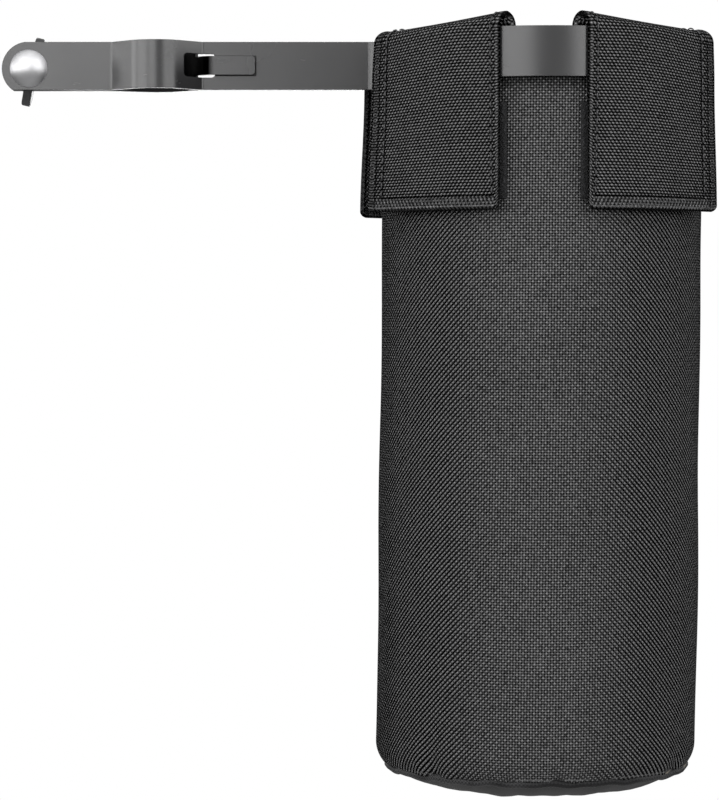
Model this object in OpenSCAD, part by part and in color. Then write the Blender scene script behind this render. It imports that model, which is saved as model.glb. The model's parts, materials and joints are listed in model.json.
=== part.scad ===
// Drumstick holder: a padded tube bag hung on a flat-bar ring, with an arm and a tube clamp.
// Origin: on the axis of the clamped stand tube, at mid-height of the flat bar.
// +X runs along the arm to the bag, -Y is the front (bolt head side), +Z is up. Millimetres.

/* [Flat bar] */
// Height of the flat bar
bar_w = 16; // [14:0.5:20]
// Thickness of the flat bar
bar_t = 2; // [1.5:0.1:2.5]
// Mid-line radius of the small bends
bend_r = 2.5; // [2:0.1:3.2]

/* [Ring and arm] */
// Distance from the stand tube's axis to the bag's axis
bag_x = 129; // [120:1:160]
// Inner radius of the ring
ring_r = 53.5; // [48:0.5:60]
// Mid-line radius of the bend where the arm turns into the ring
ring_bend_r = 4; // [3.4:0.1:5]
// Gap between the ring's free end and the back of the arm
ring_end_gap = 2.5; // [1:0.1:4]

/* [Stand clamp] */
// Diameter of the stand tube that the clamp grips
stand_d = 19; // [17:0.5:21]
// Bend angle on each side of the front strap's bulge
front_bend = 45; // [42:1:48]
// Bend angle on the bolt side of the jaw's bulge
jaw_bend = 22; // [18:1:26]
// Bend angle on the tongue side of the jaw's bulge
tongue_bend = 45; // [43:1:47]
// Gap between the front strap and the jaw at the bolt
jaw_gap = 2.8; // [2:0.1:3.4]
// Distance from the stand tube's axis to the bolt
bolt_reach = 42.9; // [38:0.1:48]
// How far the bolt sits below the bar's mid-height
bolt_drop = 0.9; // [0:0.1:0.9]
// How much the radius of the straps' round ends, about the bolt, exceeds half the bar's height
end_extra = 1; // [0.95:0.05:1.6]
// Height of the tongue that passes through the front strap
tongue_w = 6.3; // [5:0.1:7]
// Distance from the stand tube's axis to the tongue's tip
tongue_reach = 32.9; // [28:0.1:38]
// Corner radius of the tongue's tip
tongue_corner_r = 1.2; // [0.5:0.1:2]
// Length of the straight-through slot in the front strap
slot_l = 10.1; // [9.6:0.1:11]
// Clearance above and below the tongue in its slot
slot_clear = 0.75; // [0.4:0.05:1]
// Corner radius of the slot
slot_corner_r = 1.2; // [0.5:0.1:1.8]
// Clearance of the jaw's shoulders and its tongue from the front strap
tongue_clear = 0.15; // [0.1:0.05:0.3]

/* [Clamp hardware] */
// Diameter of the bolt's shank
bolt_d = 4.9; // [4.5:0.1:5]
// Length of the bolt under its head
bolt_l = 25; // [24:0.5:30]
// Diameter of the bolt's round head
head_d = 12.6; // [11:0.1:13.5]
// Height of the bolt's round head
head_h = 2.9; // [2.2:0.1:3.4]
// Width of the bolt's square neck
neck_w = 5; // [4.95:0.05:5.4]
// Clearance round the square neck
neck_clear = 0.1; // [0.05:0.05:0.2]
// Clearance above and below the shank in the jaw's long hole
hole_clear = 0.3; // [0.2:0.05:0.5]
// Length of the jaw's long hole
hole_l = 10.4; // [10:0.1:11]
// Outer diameter of the flat washer
washer_d = 10; // [9:0.5:12]
// Thickness of the flat washer
washer_t = 1; // [0.8:0.1:1.4]
// Running clearance of the washer and the wing nut on the shank
shank_clear = 0.05; // [0.03:0.01:0.08]
// Gap between the jaw and the washer
washer_gap = 0.05; // [0.05:0.05:0.1]
// Diameter of the wing nut's hub at its foot
hub_d = 9.6; // [8.5:0.1:11]
// Height of the wing nut's hub
hub_h = 5; // [4.5:0.1:6]
// Distance between the tips of the wings
wing_span = 23.5; // [22:0.5:26]
// Thickness of a wing
wing_t = 3; // [2:0.1:3.4]
// Height of the wing tips above the hub's foot
wing_h = 10.5; // [9:0.1:12]
// Radius of the round wing tips
wing_tip_r = 3; // [2.4:0.1:3.4]
// Height at which the wings leave the hub, above its foot
wing_foot = 1; // [0.5:0.1:1.5]
// Taper of the hub: how much smaller its top is than its foot
hub_taper = 2; // [1:0.1:3]
// Lean of the wings from the vertical
wing_lean = 13; // [0:1:30]

/* [Bag wall] */
// Gap between the ring and the bag's wall inside it
ring_clear = 0.3; // [0.2:0.1:0.5]
// Thickness of the woven outer shell
shell_t = 1.2; // [0.8:0.1:1.6]
// Thickness of the foam padding
foam_t = 3.3; // [2:0.1:5]
// Thickness of the lining
lining_t = 0.8; // [0.5:0.1:1.2]
// Gap between layers that lie on each other
layer_gap = 0.1; // [0.05:0.05:0.2]
// Depth of the bottom seam below the bar's mid-height
seam_depth = 233; // [180:1:280]
// Radius of the rounded corner above the bottom seam
corner_r = 11; // [9:0.5:14]
// Inward step from the wall to the bottom seam
seam_step = 3.2; // [2.5:0.1:4.5]
// Bulge of the bottom panel below its seam
bottom_bulge = 6.2; // [4:0.1:8]
// Radius of the piping along the bottom seam
piping_r = 1.3; // [1:0.1:1.6]
// Thickness of the board in the base
board_t = 2.5; // [2:0.1:3.5]
// Width of the tape over the wall's back seam
seam_tape_w = 12; // [8:0.5:16]
// Thickness of the tapes and bindings
tape_t = 0.6; // [0.4:0.1:0.8]
// Depth of the binding on the rim, below the rim's edge
rim_binding_h = 9; // [7:0.5:12]

/* [Tabs and flaps] */
// Thickness of the folded tabs
tab_t = 1.4; // [1:0.1:1.8]
// Gap between the ring and the tabs that wrap it
tab_clear = 0.4; // [0.3:0.1:0.8]
// Width of the gap between the two front flaps, and between the two back ones
flap_gap = 29; // [24:1:36]
// Width of the same gap where the tabs leave the rim
tab_gap = 18; // [14:1:22]
// Width of a flap
flap_w = 48; // [40:0.5:56]
// Distance that a flap's outer edge stands off the ring's round
flap_stand = 6; // [0:0.5:8]
// Turn of the sewn bag about its own axis, towards the arm
bag_turn = 3; // [0:0.5:6]
// Further turn of the back left flap along the ring, towards the arm
back_left_turn = 10; // [0:0.5:14]
// Drop of the flaps' lower edges below the bar's mid-height
flap_drop = 50.4; // [46:0.2:60]
// Rise of the loose fold at the gap, above the tight fold at the flap's outer edge
fold_rise = 3.4; // [0:0.1:5]
// Angle over which the loose fold settles
fold_settle = 15; // [10:1:25]
// Height of the hook and loop strips
strip_h = 30.6; // [20:0.2:34]
// Drop of the strips' lower edges below the bar's mid-height
strip_drop = 46.6; // [45:0.2:50]
// Thickness of a hook strip
hook_t = 0.9; // [0.7:0.1:1]
// Gap between a hook strip and its loop strip
hook_gap = 0.3; // [0.25:0.05:0.4]

/* [Hidden] */
$fn = 96;
eps = 0.01;
// Largest angle of one facet in the small bends and rounded corners
bend_step = 7.5;

// Flat bar and clamp
end_r = bar_w / 2 + end_extra;
grip_r = stand_d / 2 + bar_t / 2;
ring_mid_r = ring_r + bar_t / 2;
jaw_y = bar_t + jaw_gap;
tongue_y = -bar_t - tongue_clear;
// The arm turns a full right angle into the ring, so the ring's centre lies one bend ahead of it
bag_y = -ring_bend_r;
arm_end_x = bag_x - ring_mid_r - ring_bend_r;
ring_end_turn = asin((bar_t / 2 + ring_end_gap + ring_bend_r) / ring_mid_r);
front_foot_x = grip_r / sin(front_bend);
tongue_cross_x = grip_r / sin(tongue_bend);
// The jaw's wide part stops where its inner corner would meet the front strap
shoulder_y = bar_t / 2 + tongue_clear + bar_t / 2 * cos(tongue_bend);
slot_h = tongue_w + 2 * slot_clear;
slot_x1 = tongue_cross_x + bar_t + bend_r + tongue_clear;
washer_y = jaw_y + bar_t / 2 + washer_gap;
// Angle of the web's edges on the round wing tips
wing_edge = 30;
// Stock left inside the grip's bend for the round cut, and relief at its two ends
grip_stock = 0.3;
grip_relief = 0.01;

// Wall radii, from the outside in
shell_r = ring_r - ring_clear;
foam_r = shell_r - shell_t - layer_gap;
lining_r = foam_r - foam_t - layer_gap;
inner_r = lining_r - lining_t;
seam_r = shell_r - seam_step;
corner_z = corner_r * sin(acos(1 - seam_step / corner_r)) - seam_depth;
lining_floor_z = board_t + layer_gap - seam_depth;
// The board reaches the shell's rounded corner at the depth of the seam
board_r = shell_r - corner_r - layer_gap
    + sqrt(pow(corner_r - shell_t, 2) - pow(seam_depth + corner_z, 2));
panel_r = seam_r - 2 * piping_r - layer_gap;
bag_facets = 128;

// Tab, flap and strip radii
tab_in_r = shell_r - shell_t;
flap_in_r = ring_r + bar_t + tab_clear;
flap_r = flap_in_r + tab_t;
fold_z = bar_w / 2 + tab_clear;
hinge_z = bar_w / 2;
hinge_gap = 0.3;
hook_in_r = flap_in_r - layer_gap - hook_t;
loop_in_r = shell_r + layer_gap;
loop_r = hook_in_r - hook_gap;
strip_top = strip_h - strip_drop;

// Angles, counted from the middle of the gap towards the flap's outer edge
flap_from = asin(flap_gap / 2 / flap_r);
flap_to = flap_from + flap_w / flap_r * 180 / PI;
tab_from = asin(tab_gap / 2 / shell_r);
strip_inset = 1.5;
binding_inset = 0.5;
flap_slices = 18;
corner_steps = 10;

// Quarters: name, side and face (1 for left and front), 1 where the flap stands off the ring's
// round or 0 where it lies close, and its own turn away from the middle of the gap
QUARTERS = [
    ["front_left", 1, 1, 1, 0],
    ["front_right", -1, 1, 1, 0],
    ["back_left", 1, -1, 1, back_left_turn],
    ["back_right", -1, -1, 0, 0]
];

// Length that a bend takes off each of the two straights it joins
function set_back(turn, radius) = radius * tan(abs(turn) / 2);

// Stations [x, y, heading, added on the left, added on the right] round one bend.
// Stock is added on the inside of the bend, for a round cut.
function bend_stations(x, y, heading, turn, radius, stock) =
    let (
        side = sign(turn),
        count = ceil(abs(turn) / bend_step)
    )
    [
        for (i = [0:count])
            let (
                a = heading + turn * i / count,
                inside = stock == 0 ? 0 : (i == 0 || i == count ? -grip_relief : stock)
            )
                [
                    x + side * radius * (sin(a) - sin(heading)),
                    y - side * radius * (cos(a) - cos(heading)),
                    a,
                    side > 0 ? inside : 0,
                    side < 0 ? inside : 0
                ]
    ];

// Stations along a bar bent to a table of [straight length, turn, mid-line radius, stock];
// a positive turn is to the left
function bar_stations(table, x, y, heading = 0, i = 0) =
    i == len(table) ? [] :
    let (
        turn = table[i][1],
        straight_x = x + table[i][0] * cos(heading),
        straight_y = y + table[i][0] * sin(heading),
        bend = turn == 0
            ? [[straight_x, straight_y, heading, 0, 0]]
            : bend_stations(straight_x, straight_y, heading, turn, table[i][2], table[i][3]),
        last = bend[len(bend) - 1]
    )
    concat(
        i == 0 ? [[x, y, heading, 0, 0]] : [],
        bend,
        bar_stations(table, last[0], last[1], heading + turn, i + 1)
    );

// Plan outline of the bent bar: its left side out and its right side back
module bar_plan(stations) {
    polygon(concat(
        [
            for (s = stations)
                [s[0] - (bar_t / 2 + s[3]) * sin(s[2]), s[1] + (bar_t / 2 + s[3]) * cos(s[2])]
        ],
        [
            for (i = [len(stations) - 1:-1:0])
                let (s = stations[i])
                    [s[0] + (bar_t / 2 + s[4]) * sin(s[2]), s[1] - (bar_t / 2 + s[4]) * cos(s[2])]
        ]
    ));
}

// Flat bar of full height, bent to a table
module bent_bar(table, x, y) {
    translate([0, 0, -bar_w / 2])
        linear_extrude(bar_w)
            bar_plan(bar_stations(table, x, y));
}

// Points round part of a circle
function arc_points(x, y, r, a0, a1) =
    let (count = ceil(abs(a1 - a0) / bend_step))
    [
        for (i = [0:count])
            let (a = a0 + (a1 - a0) * i / count)
                [x + r * cos(a), y + r * sin(a)]
    ];

// Rectangle with rounded corners, from its lower left corner
module rounded_plate(size, r) {
    polygon(concat(
        arc_points(r, r, r, 180, 270),
        arc_points(size[0] - r, r, r, 270, 360),
        arc_points(size[0] - r, size[1] - r, r, 0, 90),
        arc_points(r, size[1] - r, r, 90, 180)
    ));
}

// Turns an outline drawn in X and Z into a cut or plate that spans from y0 to y1
module across(y0, y1) {
    translate([0, y1, 0])
        rotate([90, 0, 0])
            linear_extrude(y1 - y0)
                children();
}

// What the straps' round end leaves standing: everything right of the bolt, and its own arc
module strap_end(y) {
    across(y - bar_t, y + bar_t)
        polygon(concat(
            [[bag_x, bar_w], [-bolt_reach, bar_w]],
            arc_points(-bolt_reach, -bolt_drop, end_r, 90, 270),
            [[-bolt_reach, -bar_w - bolt_drop], [bag_x, -bar_w - bolt_drop]]
        ));
}

// The tube's own space, which gives both straps a true round grip
module grip_cut() {
    cylinder(h = 2 * bar_w, d = stand_d, center = true);
}

// Front strap, arm and ring, bent from one length of bar
module ring_arm() {
    flank = grip_r / tan(front_bend) - set_back(front_bend, bend_r);
    strap = end_r + bolt_reach - front_foot_x - set_back(front_bend, bend_r);
    arm = arm_end_x - front_foot_x - set_back(front_bend, bend_r);
    neck_hole = neck_w + 2 * neck_clear;
    color([0.2, 0.2, 0.21])
        difference() {
            union() {
                bent_bar([
                    [strap, -front_bend, bend_r, 0],
                    [flank, 2 * front_bend, grip_r, grip_stock],
                    [flank, -front_bend, bend_r, 0],
                    [arm, -90, ring_bend_r, 0]
                ], -bolt_reach - end_r, 0);
                translate([bag_x, bag_y, 0])
                    rotate([0, 0, 180])
                        rotate_extrude(angle = 360 - ring_end_turn, $fn = 240)
                            translate([ring_r, -bar_w / 2])
                                square([bar_t, bar_w]);
            }
            difference() {
                translate([-bolt_reach - 2 * end_r, -bar_t, -bar_w])
                    cube([2 * end_r, 2 * bar_t, 2 * bar_w]);
                strap_end(0);
            }
            grip_cut();
            across(-stand_d, bar_t)
                translate([slot_x1 - slot_l, -slot_h / 2])
                    rounded_plate([slot_l, slot_h], slot_corner_r);
            translate([-bolt_reach, 0, -bolt_drop])
                cube([neck_hole, 2 * bar_t, neck_hole], center = true);
        }
}

// Rear strap: a bulge round the tube and a tongue that hooks through the front strap
module clamp_jaw() {
    foot_x = (grip_r - jaw_y * cos(jaw_bend)) / sin(jaw_bend);
    strap = end_r + bolt_reach - foot_x - set_back(jaw_bend, bend_r);
    // The tangent lengths from the grip's arc to the jaw's plane and to the tongue's plane
    rise = foot_x * cos(jaw_bend) - jaw_y * sin(jaw_bend) - set_back(jaw_bend, bend_r);
    fall = grip_r / tan(tongue_bend) - tongue_y / sin(tongue_bend) - set_back(tongue_bend, bend_r);
    tongue_foot_x = tongue_cross_x - tongue_y / tan(tongue_bend) + set_back(tongue_bend, bend_r);
    shoulder_x = tongue_cross_x - shoulder_y / tan(tongue_bend);
    hole_w = bolt_d + 2 * hole_clear;
    color([0.17, 0.17, 0.18])
        difference() {
            bent_bar([
                [strap, jaw_bend, bend_r, 0],
                [rise, -jaw_bend - tongue_bend, grip_r, grip_stock],
                [fall, tongue_bend, bend_r, 0],
                [tongue_reach - tongue_foot_x, 0, 0, 0]
            ], -bolt_reach - end_r, jaw_y);
            difference() {
                translate([-bolt_reach - 2 * end_r, jaw_y - bar_t, -bar_w])
                    cube([2 * end_r, 2 * bar_t, 2 * bar_w]);
                strap_end(jaw_y);
            }
            grip_cut();
            // The bar is cut down to the tongue from its shoulders on
            difference() {
                translate([shoulder_x, shoulder_y, -bar_w])
                    rotate([0, 0, -tongue_bend])
                        translate([0, -stand_d, 0])
                            cube([2 * tongue_reach, 2 * stand_d, 2 * bar_w]);
                across(-stand_d, stand_d)
                    translate([0, -tongue_w / 2])
                        rounded_plate([tongue_reach, tongue_w], tongue_corner_r);
            }
            across(bar_t, 2 * jaw_y)
                translate([-bolt_reach - hole_l / 2, -bolt_drop - hole_w / 2])
                    rounded_plate([hole_l, hole_w], hole_w / 2 - eps);
        }
}

// Places a turned piece on the bolt's line, with its own +Z along +Y, starting at y
module on_bolt(y) {
    translate([-bolt_reach, y, -bolt_drop])
        rotate([-90, 0, 0])
            children();
}

// Carriage bolt: round head, square neck, shank with a chamfered tip
module carriage_bolt() {
    chamfer = bolt_d / 8;
    dome_r = (head_d * head_d / 4 + head_h * head_h) / (2 * head_h);
    color([0.72, 0.72, 0.74])
        on_bolt(-bar_t / 2) {
            intersection() {
                translate([0, 0, dome_r - head_h])
                    sphere(dome_r);
                translate([0, 0, -head_h])
                    cylinder(h = head_h, d = head_d + 1);
            }
            translate([-neck_w / 2, -neck_w / 2, -eps])
                cube([neck_w, neck_w, bar_t + eps]);
            cylinder(h = bolt_l - chamfer, d = bolt_d);
            translate([0, 0, bolt_l - chamfer])
                cylinder(h = chamfer, d1 = bolt_d, d2 = bolt_d - 2 * chamfer);
        }
}

// Flat washer between the jaw and the wing nut
module flat_washer() {
    color([0.6, 0.6, 0.62])
        on_bolt(washer_y)
            difference() {
                cylinder(h = washer_t, d = washer_d);
                translate([0, 0, -1])
                    cylinder(h = washer_t + 2, d = bolt_d + 2 * shank_clear);
            }
}

// One wing in its own plane: a web from the hub to a round tip
module wing_outline(side) {
    tip = [wing_span / 2 - wing_tip_r, wing_h - wing_tip_r];
    translate([side * tip[0], tip[1]])
        circle(wing_tip_r);
    polygon([
        [0, wing_foot],
        [side * (hub_d - hub_taper) / 2, wing_foot],
        [side * (tip[0] + wing_tip_r * cos(wing_edge)), tip[1] - wing_tip_r * sin(wing_edge)],
        [side * (tip[0] - wing_tip_r * cos(wing_edge)), tip[1] + wing_tip_r * sin(wing_edge)],
        [side * (hub_d - hub_taper) / 4, hub_h],
        [0, hub_h]
    ]);
}

// Wing nut: tapered hub with two wings that lean off the vertical
module wing_nut() {
    color([0.13, 0.13, 0.14])
        on_bolt(washer_y + washer_t)
            difference() {
                union() {
                    cylinder(h = hub_h, d1 = hub_d, d2 = hub_d - hub_taper);
                    rotate([0, 0, wing_lean])
                        for (side = [-1, 1])
                            rotate([90, 0, 90])
                                translate([0, 0, -wing_t / 2])
                                    linear_extrude(wing_t)
                                        wing_outline(side);
                }
                translate([0, 0, -wing_foot])
                    cylinder(h = hub_h + wing_h, d = bolt_d + 2 * shank_clear);
            }
}

// Half section of everything inside radius r, down to the bottom seam with its rounded corner
module inside_profile(r, top) {
    inset = shell_r - r;
    translate([0, corner_z])
        square([r, top - corner_z]);
    translate([0, -seam_depth])
        square([shell_r - corner_r, corner_z + seam_depth]);
    intersection() {
        translate([shell_r - corner_r, corner_z])
            circle(corner_r - inset);
        translate([shell_r - corner_r - eps, -seam_depth])
            square([corner_r, corner_z + seam_depth + eps]);
    }
}

// Turns a profile about the bag's axis, over a stretch of angle counted from +X
module around_bag(from = 0, sweep = 360) {
    translate([bag_x, bag_y, 0])
        rotate([0, 0, from])
            rotate_extrude(angle = sweep, $fn = bag_facets)
                children();
}

// Woven outer wall
module bag_shell() {
    color([0.11, 0.11, 0.12])
        around_bag()
            difference() {
                inside_profile(shell_r, 0);
                inside_profile(shell_r - shell_t, 1);
                translate([0, -seam_depth - 1])
                    square([shell_r - corner_r, 2]);
            }
}

// Foam between the shell and the lining
module foam_pad() {
    color([0.32, 0.32, 0.33])
        around_bag()
            difference() {
                inside_profile(foam_r, 0);
                translate([0, -seam_depth - 1])
                    square([foam_r - foam_t, seam_depth + 2]);
            }
}

// Lining: wall and floor
module lining() {
    color([0.07, 0.07, 0.08])
        around_bag()
            difference() {
                translate([0, lining_floor_z])
                    square([lining_r, -lining_floor_z]);
                translate([-1, lining_floor_z + lining_t])
                    square([inner_r + 1, -lining_floor_z]);
            }
}

// Binding over the rim's edge: all round on the padding, and over the shell between the tabs
module rim_binding() {
    half_gap = tab_from - binding_inset;
    outer_edge = flap_to + binding_inset;
    // Start and end of each space between two tabs, counted from the clamp's opposite side
    spaces = [
        [-90 - half_gap, -90 + half_gap],
        [-90 + outer_edge, 90 - outer_edge],
        [90 - half_gap, 90 + half_gap + back_left_turn],
        [90 + outer_edge + back_left_turn, 270 - outer_edge]
    ];
    color([0.06, 0.06, 0.07]) {
        difference() {
            union() {
                around_bag()
                    translate([inner_r - tape_t, -rim_binding_h])
                        square([foam_r - inner_r + tape_t, rim_binding_h + tape_t]);
                for (space = spaces)
                    around_bag(space[0] - bag_turn, space[1] - space[0])
                        translate([inner_r, layer_gap])
                            square([shell_r - inner_r, tape_t - layer_gap]);
            }
            around_bag()
                translate([inner_r - layer_gap, -rim_binding_h - 1])
                    square([shell_r - inner_r + 1, rim_binding_h + 1 + layer_gap]);
        }
    }
}

// Tape over the wall's seam, down the middle of the back
module back_seam_tape() {
    sweep = 2 * asin(seam_tape_w / 2 / shell_r);
    color([0.09, 0.09, 0.1])
        around_bag(90 - bag_turn - sweep / 2, sweep)
            translate([shell_r + layer_gap, corner_z])
                square([tape_t, strip_top - corner_z]);
}

// Domed bottom panel, sewn to the wall at the piping
module bottom_panel() {
    dome_r = (panel_r * panel_r + bottom_bulge * bottom_bulge) / (2 * bottom_bulge);
    color([0.1, 0.1, 0.11])
        translate([bag_x, bag_y, dome_r - bottom_bulge - shell_t - seam_depth - layer_gap])
            intersection() {
                difference() {
                    sphere(dome_r);
                    sphere(dome_r - shell_t);
                }
                translate([0, 0, -dome_r - 1])
                    cylinder(h = bottom_bulge + shell_t + 1, r = panel_r);
            }
}

// Piping in the bottom seam
module bottom_piping() {
    color([0.05, 0.05, 0.06])
        around_bag()
            translate([seam_r - piping_r, -seam_depth - layer_gap - piping_r])
                circle(piping_r, $fn = 24);
}

// Stiff board under the lining, on the bottom panel
module base_board() {
    color([0.25, 0.24, 0.23])
        translate([bag_x, bag_y, -seam_depth])
            cylinder(h = board_t, r = board_r);
}

// Puts a piece built for the front left quarter in its own quarter
module in_quarter(quarter) {
    translate([bag_x, bag_y, 0])
        rotate([0, 0, -bag_turn])
            mirror([quarter[1] > 0 ? 0 : 1, 0, 0])
                mirror([0, quarter[2] > 0 ? 0 : 1, 0])
                    rotate([0, 0, -quarter[4]])
                        children();
}

// Distance of a flap from the ring's round, at an angle from the middle of the gap
function stand_off(angle) = flap_stand * pow(max(0, angle - flap_from) / (flap_to - flap_from), 2);

// A curved panel from angle a0 to a1, counted from the front towards the left. Share 1 of the
// flap's own stand-off lets it follow the flap, and 0 keeps it round.
module curved_panel(r0, r1, z0, z1, a0, a1, share) {
    angles = [for (i = [0:flap_slices]) a0 + (a1 - a0) * i / flap_slices];
    translate([0, 0, z0])
        linear_extrude(z1 - z0)
            polygon([
                for (a = angles) let (r = r1 + share * stand_off(a)) [-r * sin(a), -r * cos(a)],
                for (i = [flap_slices:-1:0])
                    let (a = angles[i], r = r0 + share * stand_off(a)) [-r * sin(a), -r * cos(a)]
            ]);
}

// Height of the loose fold above the tight one: most at the gap, least at the outer edge
function fold_lift(angle) = fold_rise * exp((flap_from - angle) / fold_settle);

// A quarter or more of an ellipse about (r, z), as section points
function fold_corner(r, z, rx, rz, a0, a1) = [
    for (i = [0:corner_steps])
        let (a = a0 + (a1 - a0) * i / corner_steps)
            [r + rx * cos(a), z + rz * sin(a)]
];

// Closed section of the fold: up from the rim, over the ring and down, then back underneath
function fold_section(lift, stand) =
    let (
        middle = (tab_in_r + flap_r + stand) / 2,
        half = (flap_r + stand - tab_in_r) / 2,
        foot = hinge_z + hinge_gap / 2,
        rise = fold_z - foot + tab_t + lift
    )
    concat(
        [[tab_in_r, layer_gap]],
        fold_corner(middle, foot, half, rise, 180, 0),
        fold_corner(middle, foot, half - tab_t, rise - tab_t, 0, 180),
        [[tab_in_r + tab_t, layer_gap]]
    );

// Angle of a fold point at share u of the fold's width: the tab narrows from the rim to the flap
function fold_angle(r, u, stand) =
    let (
        outward = (r - tab_in_r) / (flap_r + stand - tab_in_r),
        from = tab_from + (flap_from - tab_from) * outward
    )
    from + (flap_to - from) * u;

// Tab from the rim up and over the ring, in one quarter
module tab_fold(quarter) {
    count = len(fold_section(0, 0));
    points = [
        for (i = [0:flap_slices])
            let (
                u = i / flap_slices,
                angle = flap_from + (flap_to - flap_from) * u,
                stand = quarter[3] * stand_off(angle)
            )
                for (p = fold_section(fold_lift(angle), stand))
                    let (a = fold_angle(p[0], u, stand))
                        [-p[0] * sin(a), -p[0] * cos(a), p[1]]
    ];
    // The section is a bent band, so each end is closed by strips across the band
    ends = [
        for (slice = [0, flap_slices], i = [0:count / 2 - 2])
            let (
                base = slice * count,
                strip = [base + i, base + i + 1, base + count - 2 - i, base + count - 1 - i]
            )
                slice == 0 ? strip : [for (k = [3:-1:0]) strip[k]]
    ];
    sides = [
        for (slice = [0:flap_slices - 1], i = [0:count - 1])
            let (
                a = slice * count + i,
                b = slice * count + (i + 1) % count
            )
                [a, a + count, b + count, b]
    ];
    color([0.12, 0.12, 0.13])
        in_quarter(quarter)
            polyhedron(points, concat(ends, sides), convexity = 4);
}

// Outer flap that hangs from the fold and closes over the wall
module flap(quarter) {
    color([0.14, 0.14, 0.15])
        in_quarter(quarter)
            curved_panel(
                flap_in_r, flap_r, -flap_drop, hinge_z - hinge_gap / 2,
                flap_from, flap_to, quarter[3]
            );
}

// Hook strip sewn inside a flap
module hook_strip(quarter) {
    color([0.04, 0.04, 0.04])
        in_quarter(quarter)
            curved_panel(
                hook_in_r, hook_in_r + hook_t, -strip_drop, strip_top,
                flap_from + strip_inset, flap_to - strip_inset, quarter[3]
            );
}

// Loop strip sewn on the wall under a flap
module loop_strip(quarter) {
    color([0.08, 0.08, 0.09])
        in_quarter(quarter)
            curved_panel(
                loop_in_r, loop_r, -strip_drop, strip_top,
                flap_from - strip_inset, flap_to - strip_inset, 0
            );
}

ring_arm();
clamp_jaw();
carriage_bolt();
flat_washer();
wing_nut();
bag_shell();
foam_pad();
lining();
rim_binding();
back_seam_tape();
bottom_panel();
bottom_piping();
base_board();
for (q = QUARTERS) {
    tab_fold(q);
    flap(q);
    hook_strip(q);
    loop_strip(q);
}
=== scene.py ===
"""Dresses the drumstick holder: padded woven bag, sewn flaps, coated steel ring and tube clamp."""

import json
import logging
import math
import random
from dataclasses import dataclass, field
from enum import Enum

import bmesh
import bpy
import numpy as np
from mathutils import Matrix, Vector

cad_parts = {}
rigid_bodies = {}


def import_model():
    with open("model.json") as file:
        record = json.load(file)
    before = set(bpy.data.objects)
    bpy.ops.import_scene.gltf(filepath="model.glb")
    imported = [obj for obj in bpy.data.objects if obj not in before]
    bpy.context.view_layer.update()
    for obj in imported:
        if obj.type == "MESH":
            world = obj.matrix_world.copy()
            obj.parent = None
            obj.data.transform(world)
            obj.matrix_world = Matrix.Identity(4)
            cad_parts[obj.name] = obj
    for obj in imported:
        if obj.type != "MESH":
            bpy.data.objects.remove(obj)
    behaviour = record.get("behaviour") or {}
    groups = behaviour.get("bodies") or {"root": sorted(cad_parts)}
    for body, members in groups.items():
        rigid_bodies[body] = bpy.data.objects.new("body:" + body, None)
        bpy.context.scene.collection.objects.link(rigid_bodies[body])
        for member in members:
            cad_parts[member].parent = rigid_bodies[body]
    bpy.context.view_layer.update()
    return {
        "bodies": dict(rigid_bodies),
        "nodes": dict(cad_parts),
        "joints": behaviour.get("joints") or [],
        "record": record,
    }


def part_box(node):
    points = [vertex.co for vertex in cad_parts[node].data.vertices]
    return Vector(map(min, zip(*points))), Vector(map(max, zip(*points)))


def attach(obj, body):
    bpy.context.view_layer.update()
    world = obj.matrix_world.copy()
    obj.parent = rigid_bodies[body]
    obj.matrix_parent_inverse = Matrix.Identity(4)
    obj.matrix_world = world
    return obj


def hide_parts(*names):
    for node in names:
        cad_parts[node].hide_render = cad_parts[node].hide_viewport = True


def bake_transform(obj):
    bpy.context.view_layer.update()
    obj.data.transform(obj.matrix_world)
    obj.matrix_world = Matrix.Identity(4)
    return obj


LOG = logging.getLogger("drumstick_holder")
Array = np.ndarray
Place = tuple[float, float, float]
Colour = tuple[float, float, float]
BLACK: Colour = (0.0, 0.0, 0.0)
WHITE: Colour = (1.0, 1.0, 1.0)


# ----- Shader maths -----


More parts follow.
